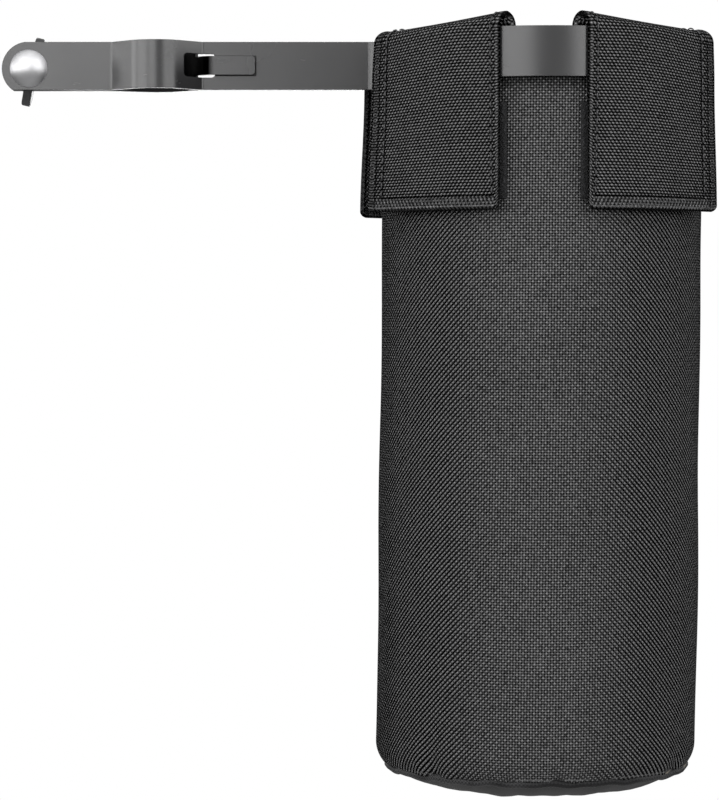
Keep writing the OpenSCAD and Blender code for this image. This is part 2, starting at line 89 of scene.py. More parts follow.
class Value:
    """A number socket that takes part in Python arithmetic; each operation adds its Math node."""

    def __init__(self, nodes: "Nodes", socket: bpy.types.NodeSocket) -> None:
        """Wraps a socket.

        Args:
            nodes: the tree that the socket is in.
            socket: the output socket to wrap.
        """
        self.nodes = nodes
        self.socket = socket

    def __add__(self, other: "Operand") -> "Value":
        """Sum."""
        return self.nodes.math("ADD", self, other)

    def __sub__(self, other: "Operand") -> "Value":
        """Difference."""
        return self.nodes.math("SUBTRACT", self, other)

    def __rsub__(self, other: "Operand") -> "Value":
        """Difference from a number."""
        return self.nodes.math("SUBTRACT", other, self)

    def __mul__(self, other: "Operand") -> "Value":
        """Product."""
        return self.nodes.math("MULTIPLY", self, other)

    def __truediv__(self, other: "Operand") -> "Value":
        """Quotient."""
        return self.nodes.math("DIVIDE", self, other)

    def __pow__(self, other: "Operand") -> "Value":
        """Power."""
        return self.nodes.math("POWER", self, other)

    __radd__ = __add__
    __rmul__ = __mul__

    def sin(self) -> "Value":
        """Sine of the value in radians."""
        return self.nodes.math("SINE", self)

    def cos(self) -> "Value":
        """Cosine of the value in radians."""
        return self.nodes.math("COSINE", self)

    def at_least(self, low: "Operand") -> "Value":
        """The larger of the value and a lower limit."""
        return self.nodes.math("MAXIMUM", self, low)

    def at_most(self, high: "Operand") -> "Value":
        """The smaller of the value and an upper limit."""
        return self.nodes.math("MINIMUM", self, high)

    def size(self) -> "Value":
        """The value without its sign."""
        return self.nodes.math("ABSOLUTE", self)

    def waves(self, pitch: float) -> "Value":
        """Even waves between 0 and 1, with a crest at every pitch."""
        return (self * (2 * math.pi / pitch)).cos() * 0.5 + 0.5

    def toward(self, target: "Operand", share: "Operand") -> "Value":
        """Moves the value a share of the way to a target."""
        return self + (target - self) * share

    def ridge(self, middle: float, half: float) -> "Value":
        """1 at the middle, falling smoothly to 0 at half a width on both sides."""
        return 1 - (self - middle).size().step(0.0, half)

    def step(self, low: float, high: float) -> "Value":
        """Smooth rise from 0 at low to 1 at high.

        Args:
            low: where the rise starts.
            high: where the rise ends.

        Returns:
            The value mapped to 0..1.
        """
        settings = {"interpolation_type": "SMOOTHSTEP"}
        return self.nodes.value("ShaderNodeMapRange", settings, {0: self, 1: low, 2: high})


Operand = Value | float


class Nodes:
    """A node tree of a material or of the world, and the ways to add nodes to it."""

    def __init__(self, tree: bpy.types.NodeTree) -> None:
        """Starts with an empty tree.

        Args:
            tree: the tree.
        """
        self.tree = tree
        self.tree.nodes.clear()

    def node(
        self, kind: str, settings: dict | None = None, inputs: dict | None = None
    ) -> bpy.types.Node:
        """Makes any node: its settings first, and then its sockets.

        Args:
            kind: the node's type name.
            settings: attributes of the node, such as a Math node's operation.
            inputs: values or links by socket name or number.

        Returns:
            The new node.
        """
        made = self.tree.nodes.new(kind)
        for name, setting in (settings or {}).items():
            setattr(made, name, setting)
        for key, content in (inputs or {}).items():
            self.put(made.inputs[key], content)
        return made

    def put(self, socket: bpy.types.NodeSocket, content: object) -> None:
        """Gives an input socket a link or a plain value.

        Args:
            socket: the input socket.
            content: a Value, an output socket, a number or a tuple.
        """
        if isinstance(content, Value):
            content = content.socket
        if isinstance(content, bpy.types.NodeSocket):
            self.tree.links.new(content, socket)
        elif isinstance(content, tuple) and socket.type == "RGBA":
            socket.default_value = (*content[:3], 1.0)
        else:
            socket.default_value = content

    def value(self, kind: str, settings: dict | None, inputs: dict, output: int = 0) -> Value:
        """Makes a node and wraps one of its outputs.

        Args:
            kind: the node's type name.
            settings: as for node.
            inputs: as for node.
            output: the number of the output.

        Returns:
            The output as a Value.
        """
        return Value(self, self.node(kind, settings, inputs).outputs[output])

    def math(self, operation: str, *operands: Operand) -> Value:
        """One Math node."""
        return self.value("ShaderNodeMath", {"operation": operation}, dict(enumerate(operands)))

    def mix(self, factor: Operand, first: object, second: object) -> bpy.types.NodeSocket:
        """Mixes two colours.

        Args:
            factor: share of the second colour.
            first: colour or colour socket.
            second: colour or colour socket.

        Returns:
            The mixed colour's socket.
        """
        inputs = {0: factor, 6: first, 7: second}
        return self.node("ShaderNodeMix", {"data_type": "RGBA"}, inputs).outputs[2]

    def axes(self, vector: bpy.types.NodeSocket) -> tuple[Value, Value, Value]:
        """The three coordinates of a vector."""
        split = self.node("ShaderNodeSeparateXYZ", inputs={0: vector})
        return tuple(Value(self, output) for output in split.outputs)


class Shader(Nodes):
    """One material: its node tree and its Principled shader."""

    def __init__(self, name: str) -> None:
        """Makes the material.

        Args:
            name: the material's name.
        """
        self.material = bpy.data.materials.new(name)
        self.material.use_nodes = True
        super().__init__(self.material.node_tree)
        self.principled = self.node("ShaderNodeBsdfPrincipled")
        inputs = {"Surface": self.principled.outputs[0]}
        self.output = self.node("ShaderNodeOutputMaterial", inputs=inputs)

    def place(self) -> bpy.types.NodeSocket:
        """The object's own coordinates, in metres."""
        return self.node("ShaderNodeTexCoord").outputs["Object"]

    def map_axes(self, name: str) -> tuple[Value, Value]:
        """The two coordinates, in metres, of one of the mesh's own maps.

        Args:
            name: the map's name.

        Returns:
            Distance across and distance along.
        """
        return self.axes(self.node("ShaderNodeUVMap", {"uv_map": name}).outputs[0])[:2]

    def noise(
        self, scale: float, detail: float = 2.0, stretch: Place = (1.0, 1.0, 1.0)
    ) -> Value:
        """Noise in space.

        Args:
            scale: how many features go in a metre.
            detail: how many finer layers are added.
            stretch: factors on the three axes.

        Returns:
            The noise, about 0.5.
        """
        settings = {"operation": "MULTIPLY"}
        scaled = self.node("ShaderNodeVectorMath", settings, {0: self.place(), 1: stretch})
        inputs = {"Vector": scaled.outputs[0], "Scale": scale, "Detail": detail}
        return self.value("ShaderNodeTexNoise", None, inputs)

    def bump(self, height: Value, depth: float) -> bpy.types.NodeSocket:
        """Turns a height of 0..1 into a normal.

        Args:
            height: the height.
            depth: the height's real size in metres.

        Returns:
            The normal's socket.
        """
        inputs = {"Height": height, "Distance": depth}
        return self.node("ShaderNodeBump", inputs=inputs).outputs[0]

    def finish(self, **content: object) -> bpy.types.Material:
        """Sets the Principled shader's sockets.

        Args:
            **content: values or links, by the socket's name with underscores for spaces.

        Returns:
            The finished material.
        """
        for name, item in content.items():
            self.put(self.principled.inputs[name.replace("_", " ")], item)
        return self.material


def smallest(first: Operand | Array, second: Operand | Array) -> Operand | Array:
    """The smaller of two Values, or of two arrays point by point."""
    if isinstance(first, Value):
        return first.at_most(second)
    return np.minimum(first, second)


def shade(colour: Colour, factor: float) -> Colour:
    """A lighter or darker colour."""
    return tuple(channel * factor for channel in colour)


# ----- Finishes -----

# The bag's middle, and the maps that the woven pieces carry
RING_X = 0.129
WEAVE_MAP = "weave"
SIDES_MAP = "sides"
LOWER_MAP = "lower"
CREST_MAP = "crest"
# Where the wall's painted diagonals of light die out, and where they come back leaning the other
# way, as the painted light turns from the lamp at the upper left to the one at the upper right
WALL_LIGHT_TURNS = ((-0.046, -0.006), (0.002, 0.040))


@dataclass(frozen=True)
class PlainWeave:
    """A plain weave of round yarns: each yarn goes over one and under the next.

    Attributes:
        warp_pitch: distance between upright yarns, in metres.
        weft_pitch: distance between level yarns, in metres.
        slant: how strongly the crossings join into diagonals, -1..1, left of the turns; the
            diagonals are painted light, leaning as the weave's relief would be lit from the upper
            left.
        turns: stretches over which the slant falls by its own size, in metres from the middle,
            where the painted light turns to come from the upper right.
        calm: how much weaker the crossings are between the turns.
        rows: how strongly the level yarns join into rows.
        columns: how strongly the upright yarns join into columns.
        gain: how much stronger the wave is where the weave has turns, as painted contrast of light
            and shade.
        joined_gain: how much stronger again it is where the crossings join, as painted light.
        joined_drop: how much lower it lies there, as painted shade.
    """

    warp_pitch: float
    weft_pitch: float
    slant: float = 0.0
    turns: tuple[tuple[float, float], ...] = ()
    calm: float = 0.0
    rows: float = 0.0
    columns: float = 0.0
    gain: float = 1.3
    joined_gain: float = 0.4
    joined_drop: float = 0.06

    def draw(self, across: Value, along: Value, aside: Operand = 0.0) -> tuple[Value, Value]:
        """Adds the weave's nodes.

        Args:
            across: distance across the warp, in metres.
            along: distance along the warp, in metres.
            aside: distance to the right of the bag's middle, in metres.

        Returns:
            The yarns' wave, about 0 and -1..1 or a little over, and 1 in the middle of the holes.
        """
        turn_across = across * (math.pi / self.warp_pitch)
        turn_along = along * (math.pi / self.weft_pitch)
        cos_across, cos_along = turn_across.cos(), turn_along.cos()
        wave = cos_across * cos_along
        # Painted light: the crossings join into diagonals that lean one way left of the turns and
        # the other way right of them, as lamps at the upper left and upper right would light the
        # relief; where they join, the wave is painted stronger and lower.
        if self.slant:
            lean: Operand = self.slant
            for stretch in self.turns:
                lean = lean - aside.step(*stretch) * self.slant
            wave = wave + turn_across.sin() * turn_along.sin() * lean
            if self.turns:
                strength = (lean / self.slant).size()
                wave = wave * (strength * self.calm + (1 - self.calm)) * self.gain
                wave = wave * (strength * self.joined_gain + 1) - strength * self.joined_drop
        if self.rows:
            wave = wave + (cos_along * cos_along - 0.5) * self.rows
        if self.columns:
            wave = wave + (cos_across * cos_across - 0.5) * self.columns
        return wave, (1 - cos_across.size()) * (1 - cos_along.size())


@dataclass(frozen=True)
class HemMarks:
    """Where hems, seams and stitches lie on a flap, in metres from its edges.

    Attributes:
        gap: the gap hem's seam.
        outer: the outer hem's seam.
        outer_hem: the dark line between the outer hem's turned edge and its ladder of stitches.
        lower: the lower hem's seam.
        lower_row: the row of stitches along the lower edge.
        gap_ladder: the middle of the ladder stitches along the gap edge.
        outer_ladder: the middle of the ladder stitches along the outer edge.
        rung: the ladders' pitch.
        rib_pitch: distance between the ribs of the lower hem.
        rib_slant: how far the ribs lean, as a share of their height.
        top_pitch: distance between the ribs below the fold's crest.
        line: half the width of the dark lines beside the outer ladder.
    """

    gap: float = 0.0030
    outer: float = 0.0068
    outer_hem: float = 0.0014
    lower: float = 0.0042
    lower_row: float = 0.00125
    gap_ladder: float = 0.0009
    outer_ladder: float = 0.0029
    rung: float = 0.0009
    rib_pitch: float = 0.00137
    rib_slant: float = -0.4
    top_pitch: float = 0.001
    line: float = 0.0005

    @property
    def outer_lines(self) -> tuple[float, float]:
        """The dark lines on both sides of the outer ladder."""
        return self.outer_hem, self.outer_ladder * 2 - self.outer_hem

    def share(self, from_gap: Operand, from_outer: Operand, from_lower: Operand) -> Operand:
        """0 on the edges and 1 on the seam inside them; takes Values or arrays."""
        sides = smallest(from_gap / self.gap, from_outer / self.outer)
        return smallest(sides, from_lower / self.lower)


@dataclass(frozen=True)
class WovenNylon:
    """Coarse woven nylon with a grid of bright crossings and dark holes: the yarns painted lighter
    towards their crowns and the holes near black, as painted light and shade of the weave's relief.

    Attributes:
        name: the material's name.
        weave: the weave.
        hole: colour of the holes, near black as painted shade.
        yarn: colour of the yarns.
        roughness: the yarns' roughness.
        depth: the weave's relief in metres.
        marks: the hems' marks, on a flap.
    """

    name: str = "woven_nylon"
    weave: PlainWeave = PlainWeave(0.00092, 0.00087, 0.85, WALL_LIGHT_TURNS, 0.5, 0.7, 0.7)
    hole: Colour = (0.0003, 0.0003, 0.0003)
    yarn: Colour = (0.3, 0.3, 0.303)
    roughness: float = 0.5
    depth: float = 0.0008
    marks: HemMarks | None = None

    def hems(self, shader: Shader, crown: Value, height: Value) -> tuple[Value, Value]:
        """Draws a flap's hems into the weave, with painted shade in their seams, on their rolled
        edges and on the fold's crest.

        Args:
            shader: the flap's shader.
            crown: how bright the yarns are, 0..1.
            height: the weave's height, 0..1.

        Returns:
            The new brightness and height.
        """
        marks = self.marks
        from_gap, from_outer = shader.map_axes(SIDES_MAP)
        across, from_lower = shader.map_axes(LOWER_MAP)
        _, from_crest = shader.map_axes(CREST_MAP)
        _, along = shader.map_axes(WEAVE_MAP)
        sides = smallest(from_gap, from_outer)
        edge = smallest(sides, from_lower)
        share = marks.share(from_gap, from_outer, from_lower)
        # Ribs of the lower hem and of the crest
        inside = sides.step(0.002, 0.0026)
        low_band = (1 - from_lower.step(marks.lower * 0.92, marks.lower)) * inside
        rib = (across + from_lower * marks.rib_slant).waves(marks.rib_pitch)
        crown = crown.toward(crown * 0.35 + rib * 0.26, low_band)
        top_rib = across.waves(marks.top_pitch)
        top_band = from_crest.step(0.0002, 0.0008) * (1 - from_crest.step(0.0024, 0.0028))
        crown = crown.toward(crown * 0.3 + top_rib * 0.2, top_band)
        height = height.toward(rib, low_band)
        # Ladder stitches beside the gap and along the outer edge
        rung = along.waves(marks.rung)
        gap_ladder = from_gap.ridge(marks.gap_ladder, 0.0007)
        outer_ladder = from_outer.ridge(marks.outer_ladder, 0.0013)
        hem = (1 - share.step(0.9, 1.0)) * (1 - low_band)
        crown = crown * (1 - hem * 0.3)
        crown = crown.toward(rung * 0.85, gap_ladder)
        crown = crown.toward(rung * 0.4, outer_ladder)
        crown = crown.toward(0.22, 1 - from_outer.step(0.0006, 0.0009))
        crown = crown + from_lower.ridge(marks.lower_row, 0.0003) * (rung * 0.2 + 0.15)
        height = height.toward(rung, gap_ladder + outer_ladder)
        # Seams are dark lines, painted shade in their grooves; the rolled edges, the fold's crest
        # and the last 0.4 mm of every edge get painted shade where they turn away from the light
        first, second = (from_outer.ridge(line, marks.line) for line in marks.outer_lines)
        seam = share.ridge(1.04, 0.13).at_least(first.at_least(second))
        painted_edge_shade = 1 - smallest(from_gap, from_lower).step(0.0003, 0.001)
        crest = (from_crest + 0.0004).ridge(0.0, 0.0014)
        seam_and_edge_shade = (1 - seam * 0.85) * (1 - painted_edge_shade * 0.75) * (1 - crest * 0.85)
        return crown * seam_and_edge_shade * (1 - (1 - edge.step(0.0, 0.0004)) * 0.5), height - seam * 0.8

    def painted_light_and_seam(self, shader: Shader, crown: Value, along: Value, aside: Value, z: Value) -> Value:
        """Paints light and shade on the bag's wall: a painted shadow under the rim, painted shade
        round its far sides and a painted lighter band on its flanks; and a lighter line along its
        rubbed seam.

        Args:
            shader: the wall's shader.
            crown: how bright the yarns are, 0..1.
            along: distance along the warp, less than 0 below the rim.
            aside: distance to the right of the bag's middle.
            z: height.

        Returns:
            The new brightness.
        """
        # Painted shadow of the ring and rim just under the rim, painted shade where the wall turns
        # away round the far sides, and a painted lighter band on the flanks.
        painted_rim_shadow = (z * -1).step(0.0085, 0.0145) * 0.55 + 0.45
        off_middle = aside * aside
        painted_side_shade = off_middle.step(0.0470**2, 0.0525**2)
        painted_flank_light = off_middle.step(0.010**2, 0.024**2) * (1 - off_middle.step(0.038**2, 0.049**2))
        crown = crown * painted_rim_shadow * (1 - painted_side_shade * 0.5) * (painted_flank_light * 0.16 + 1.12)
        rubbed = shader.noise(60.0, 2.0).step(0.47, 0.56)
        return crown.toward(0.75, (along * -1).ridge(0.2327, 0.00035) * rubbed)

    def build(self) -> bpy.types.Material:
        """Makes the material."""
        shader = Shader(self.name)
        across, along = shader.map_axes(WEAVE_MAP)
        x, _, z = shader.axes(shader.place())
        aside = x - RING_X
        wave, hole = self.weave.draw(across, along, aside)
        uneven = shader.noise(1000.0, 2.0)
        patch = shader.noise(28.0, 2.0)
        height = wave * 0.5 + 0.5
        # Painted light and shade: the yarns lighter towards their crowns, and near black in the
        # holes between them.
        crown = height.at_least(0.0) ** 1.8 * (1 - (hole * 1.5).at_most(1.0))
        if self.marks:
            crown, height = self.hems(shader, (crown - 0.03).at_least(0.0), height)
        else:
            crown = self.painted_light_and_seam(shader, crown, along, aside, z)
        tone = ((uneven - 0.5) * 2.5 + 1).at_least(0.0) * (patch * 0.3 + 0.85)
        return shader.finish(
            Base_Color=shader.mix(crown * tone, self.hole, self.yarn),
            Roughness=self.roughness + (uneven - 0.5) * 0.1,
            Specular_IOR_Level=0.0,
            Normal=shader.bump(height, self.depth),
        )


@dataclass(frozen=True)
class FineCloth:
    """Thin, close cloth of a single colour, such as lining or coated base cloth.

    Attributes:
        name: the material's name.
        colour: the cloth's colour.
        roughness: the surface's roughness.
        pitch: the yarns' pitch in metres.
        depth: the weave's relief in metres.
        worn: how much darker the cloth is outside its rubbed patches, 0..1.
    """

    name: str
    colour: Colour
    roughness: float
    pitch: float
    depth: float
    worn: float = 0.0

    def build(self) -> bpy.types.Material:
        """Makes the material."""
        shader = Shader(self.name)
        across, along = shader.map_axes(WEAVE_MAP)
        wave, _ = PlainWeave(self.pitch, self.pitch).draw(across, along)
        height = wave * 0.5 + 0.5
        patch = shader.noise(60.0, 3.0)
        dark = shade(self.colour, 0.55 - 0.35 * self.worn)
        rubbed = shader.noise(45.0, 2.0).step(0.48, 0.6) * self.worn + (1 - self.worn)
        colour = shader.mix(height * (patch * 0.6 + 0.6) * rubbed, dark, self.colour)
        return shader.finish(
            Base_Color=colour,
            Roughness=self.roughness + (patch - 0.5) * 0.12,
            Specular_IOR_Level=0.15,
            Normal=shader.bump(height + patch * 0.6, self.depth),
        )


@dataclass(frozen=True)
class RibbedTape:
    """Woven tape with ribs square to its edges.

    Attributes:
        name: the material's name.
        colour: the tape's colour.
        pitch: distance between ribs in metres.
    """

    name: str
    colour: Colour
    pitch: float = 0.0008

    def build(self) -> bpy.types.Material:
        """Makes the material."""
        shader = Shader(self.name)
        across, along = shader.map_axes(WEAVE_MAP)
        rib = across.waves(self.pitch)
        cord = along.waves(self.pitch * 0.6)
        uneven = shader.noise(700.0, 2.0)
        dark = shade(self.colour, 0.3)
        colour = shader.mix((rib * 0.7 + cord * 0.3) * (uneven * 0.5 + 0.75), dark, self.colour)
        return shader.finish(
            Base_Color=colour,
            Roughness=0.6 + (uneven - 0.5) * 0.15,
            Specular_IOR_Level=0.35,
            Normal=shader.bump(rib + cord * 0.4, 0.00012),
        )


class Pile(Enum):
    """The two halves of a hook-and-loop closure."""

    HOOK = "hook"
    LOOP = "loop"


@dataclass(frozen=True)
class PileTape:
    """Hook tape with rows of small hooks, or loop tape with matted loops.

    Attributes:
        name: the material's name.
        pile: which half it is.
        colour: the pile's colour.
        pitch: distance between hooks in metres.
    """

    name: str
    pile: Pile
    colour: Colour
    pitch: float = 0.0011

    def build(self) -> bpy.types.Material:
        """Makes the material."""
        shader = Shader(self.name)
        fuzz = shader.noise(2600.0, 4.0)
        if self.pile is Pile.HOOK:
            across, along = shader.map_axes(WEAVE_MAP)
            height = (across.waves(self.pitch) * along.waves(self.pitch)).step(0.15, 0.8)
        else:
            height = shader.noise(1500.0, 5.0).step(0.35, 0.7)
        dark = shade(self.colour, 0.2)
        return shader.finish(
            Base_Color=shader.mix(height * (fuzz * 0.8 + 0.6), dark, self.colour),
            Roughness=0.75 + (fuzz - 0.5) * 0.2,
            Specular_IOR_Level=0.25,
            Normal=shader.bump(height + fuzz * 0.5, 0.0004),
        )


@dataclass(frozen=True)
class Thread:
    """Bonded sewing thread with a slight shine."""

    name: str = "thread"
    colour: Colour = (0.045, 0.045, 0.047)

    def build(self) -> bpy.types.Material:
        """Makes the material."""
        shader = Shader(self.name)
        twist = shader.noise(4000.0, 2.0)
        dark = shade(self.colour, 0.5)
        return shader.finish(
            Base_Color=shader.mix(twist, dark, self.colour),
            Roughness=0.45 + (twist - 0.5) * 0.2,
            Specular_IOR_Level=0.5,
        )


@dataclass(frozen=True)
class SatinCoat:
    """Baked satin coating on steel: even, dark grey, with a faint grain and handling marks, and
    painted black shade in the slot and round the tongue.

    Attributes:
        name: the material's name.
        colour: the coating's colour.
        roughness: the coating's roughness.
        grain: the relief of its grain in metres.
        painted_slot_shade: whether the tongue's bend in the slot is painted black and lightless as
            painted shade, instead of the painted shadow round the tongue.
    """

    name: str
    colour: Colour
    roughness: float
    grain: float
    painted_slot_shade: bool = False

    @staticmethod
    def scale(shader: Shader) -> Value:
        """Painted shade: 1 on the inner side of the tongue's bend, where it passes through the slot
        and lies in shade.
        """
        x, y, _ = shader.axes(shader.place())
        inner = 1 - (x.at_most(0.0165) + y).step(0.0140, 0.0148)
        return inner * x.step(0.0070, 0.0085) * (1 - x.step(0.0172, 0.0196))

    @staticmethod
    def corner(shader: Shader) -> Value:
        """Painted shadow: up to 1 in the corner round the tongue, where it lies on the bar."""
        x, _, z = shader.axes(shader.place())
        off = z.size()
        width = 0.0004
        beside = x.step(0.0190, 0.0200) * (1 - x.step(0.0331, 0.0334)) * off.ridge(0.0032, width)
        end = x.ridge(0.0331, width) * (1 - off.step(0.0029, 0.0033))
        return beside.at_least(end) * 0.9

    def build(self) -> bpy.types.Material:
        """Makes the material."""
        shader = Shader(self.name)
        speckle = shader.noise(5200.0, 3.0)
        cloud = shader.noise(45.0, 3.0)
        rub = shader.noise(260.0, 5.0, (0.25, 1.0, 1.0)).step(0.62, 0.8)
        light = shade(self.colour, 1.35)
        dark = shade(self.colour, 0.85)
        colour = shader.mix(cloud * 0.7 + speckle * 0.3, dark, light)
        # Painted shade: black and fully metallic, so lightless, in the slot or in the thin painted
        # shadow round the tongue.
        painted_black_shade = self.scale(shader) if self.painted_slot_shade else self.corner(shader)
        colour = shader.mix(painted_black_shade, colour, BLACK)
        return shader.finish(
            Base_Color=colour,
            Roughness=self.roughness + (cloud - 0.5) * 0.08 + rub * 0.05,
            Metallic=painted_black_shade,
            Specular_IOR_Level=0.5,
            Normal=shader.bump(speckle, self.grain),
        )


@dataclass(frozen=True)
class ZincPlate:
    """Bright zinc plate with fine turning marks, a slightly cloudy film and painted shade that
    darkens it towards the bottom.
    """

    name: str = "zinc_plate"
    colour: Colour = (0.55, 0.55, 0.56)
    roughness: float = 0.46

    def build(self) -> bpy.types.Material:
        """Makes the material."""
        shader = Shader(self.name)
        film = shader.noise(220.0, 4.0)
        _, _, height = shader.axes(shader.place())
        # Painted shade: the plate is darker towards the bottom and lighter towards the top, as it
        # would mirror a dark floor below and bright light above.
        upper = (height + 0.0009).step(-0.006, 0.004)
        scratch = shader.noise(1500.0, 3.0, (1.0, 1.0, 0.15))
        dark = shade(self.colour, 0.42)
        return shader.finish(
            Base_Color=shader.mix((film * 0.3 + 0.05) + upper * 0.7, dark, self.colour),
            Roughness=self.roughness + (film - 0.5) * 0.12 + (scratch - 0.5) * 0.08,
            Metallic=1.0,
            Normal=shader.bump(scratch, 0.00001),
        )


@dataclass(frozen=True)
class Foam:
    """Closed-cell foam with fine pores."""

    name: str = "foam"
    colour: Colour = (0.22, 0.22, 0.23)

    def build(self) -> bpy.types.Material:
        """Makes the material."""
        shader = Shader(self.name)
        pores = shader.noise(1800.0, 3.0).step(0.35, 0.6)
        dark = shade(self.colour, 0.5)
        return shader.finish(
            Base_Color=shader.mix(pores, dark, self.colour),
            Roughness=0.9 - pores * 0.1,
            Normal=shader.bump(pores, 0.0002),
        )


@dataclass(frozen=True)
class FibreBoard:
    """Pressed board with visible fibres."""

    name: str = "fibre_board"
    colour: Colour = (0.2, 0.18, 0.15)

    def build(self) -> bpy.types.Material:
        """Makes the material."""
        shader = Shader(self.name)
        fibres = shader.noise(900.0, 5.0, (1.0, 0.2, 1.0))
        dark = shade(self.colour, 0.6)
        return shader.finish(
            Base_Color=shader.mix(fibres, dark, self.colour),
            Roughness=0.85 - fibres * 0.1,
            Normal=shader.bump(fibres, 0.0001),
        )


MARKS = HemMarks()
COATING: Colour = (0.018, 0.018, 0.0188)


class Finishes:
    """Every material of the holder, each built once, with the record's slot that it belongs to."""

    def __init__(self) -> None:
        """Builds the materials."""
        recipes = {
            "woven_nylon": WovenNylon(),
            # The flaps' slant is painted light as well: their crossings join into diagonals as the
            # lamp at the upper left would light them.
            "flap_nylon": WovenNylon(
                "flap_nylon", PlainWeave(0.00066, 0.00095, -0.5, rows=1.3), marks=MARKS
            ),
            "lining_cloth": FineCloth("lining_cloth", (0.03, 0.03, 0.033), 0.5, 0.0004, 0.00008),
            "base_cloth": FineCloth("base_cloth", (0.014, 0.014, 0.0148), 0.5, 0.0006, 0.00012),
            "cord_cloth": FineCloth("cord_cloth", (0.06, 0.06, 0.062), 0.5, 0.0006, 0.00012, 1.0),
            "binding_tape": RibbedTape("binding_tape", (0.04, 0.04, 0.043)),
            "hook_tape": PileTape("hook_tape", Pile.HOOK, (0.03, 0.03, 0.032)),
            "loop_tape": PileTape("loop_tape", Pile.LOOP, (0.035, 0.035, 0.037)),
            "thread": Thread(),
            "coated_steel": SatinCoat("coated_steel", COATING, 0.26, 0.000006),
            "coated_jaw": SatinCoat("coated_jaw", COATING, 0.26, 0.000006, True),
            "black_nut": SatinCoat("black_nut", (0.02, 0.02, 0.021), 0.5, 0.00005),
            "zinc_steel": ZincPlate(),
            "foam": Foam(),
            "fibre_board": FibreBoard(),
        }
        self.slots = {
            "flap_nylon": "woven_nylon",
            "thread": "woven_nylon",
            "coated_jaw": "coated_steel",
            "cord_cloth": "base_cloth",
        }
        self.made = {name: recipe.build() for name, recipe in recipes.items()}

    def dress(self, piece: bpy.types.Object, name: str) -> None:
        """Gives a piece its material.

        Args:
            piece: the piece.
            name: the finish's name.
        """
        piece.data.materials.clear()
        piece.data.materials.append(self.made[name])

    def fit(self, piece: bpy.types.Object, name: str, body: str, *nodes: str) -> bpy.types.Object:
        """Dresses a piece, hides the nodes it stands for and lets it ride on a body.

        Args:
            piece: the piece.
            name: the finish's name.
            body: the body it rides on.
            *nodes: the nodes it stands for.

        Returns:
            The piece.
        """
        self.dress(piece, name)
        if nodes:
            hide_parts(*nodes)
        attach(piece, body)
        LOG.info("%s: %d faces", piece.name, len(piece.data.polygons))
        return piece


# ----- Mesh building -----

# Points closer together than this, in metres, become one
MERGE = 1e-7


def smooth_step(x: Array | float, low: float, high: float) -> Array:
    """Smooth rise from 0 at low to 1 at high, for numbers."""
    t = np.clip((np.asarray(x, float) - low) / (high - low), 0.0, 1.0)
    return t * t * (3 - 2 * t)


def spaced(start: float, end: float, count: int) -> list[float]:
    """Evenly spaced values without the last one, for joining stretches."""
    return list(np.linspace(start, end, count, endpoint=False))


def unit(vectors: Array) -> Array:
    """Vectors at length 1."""
    return vectors / np.maximum(np.linalg.norm(vectors, axis=-1, keepdims=True), 1e-12)


def add_object(name: str, data: bpy.types.ID) -> bpy.types.Object:
    """Makes an object of a mesh, a lamp or a camera, in the scene."""
    made = bpy.data.objects.new(name, data)
    bpy.context.scene.collection.objects.link(made)
    return made


def smooth(piece: bpy.types.Object) -> None:
    """Shades all faces of a piece smooth."""
    for polygon in piece.data.polygons:
        polygon.use_smooth = True


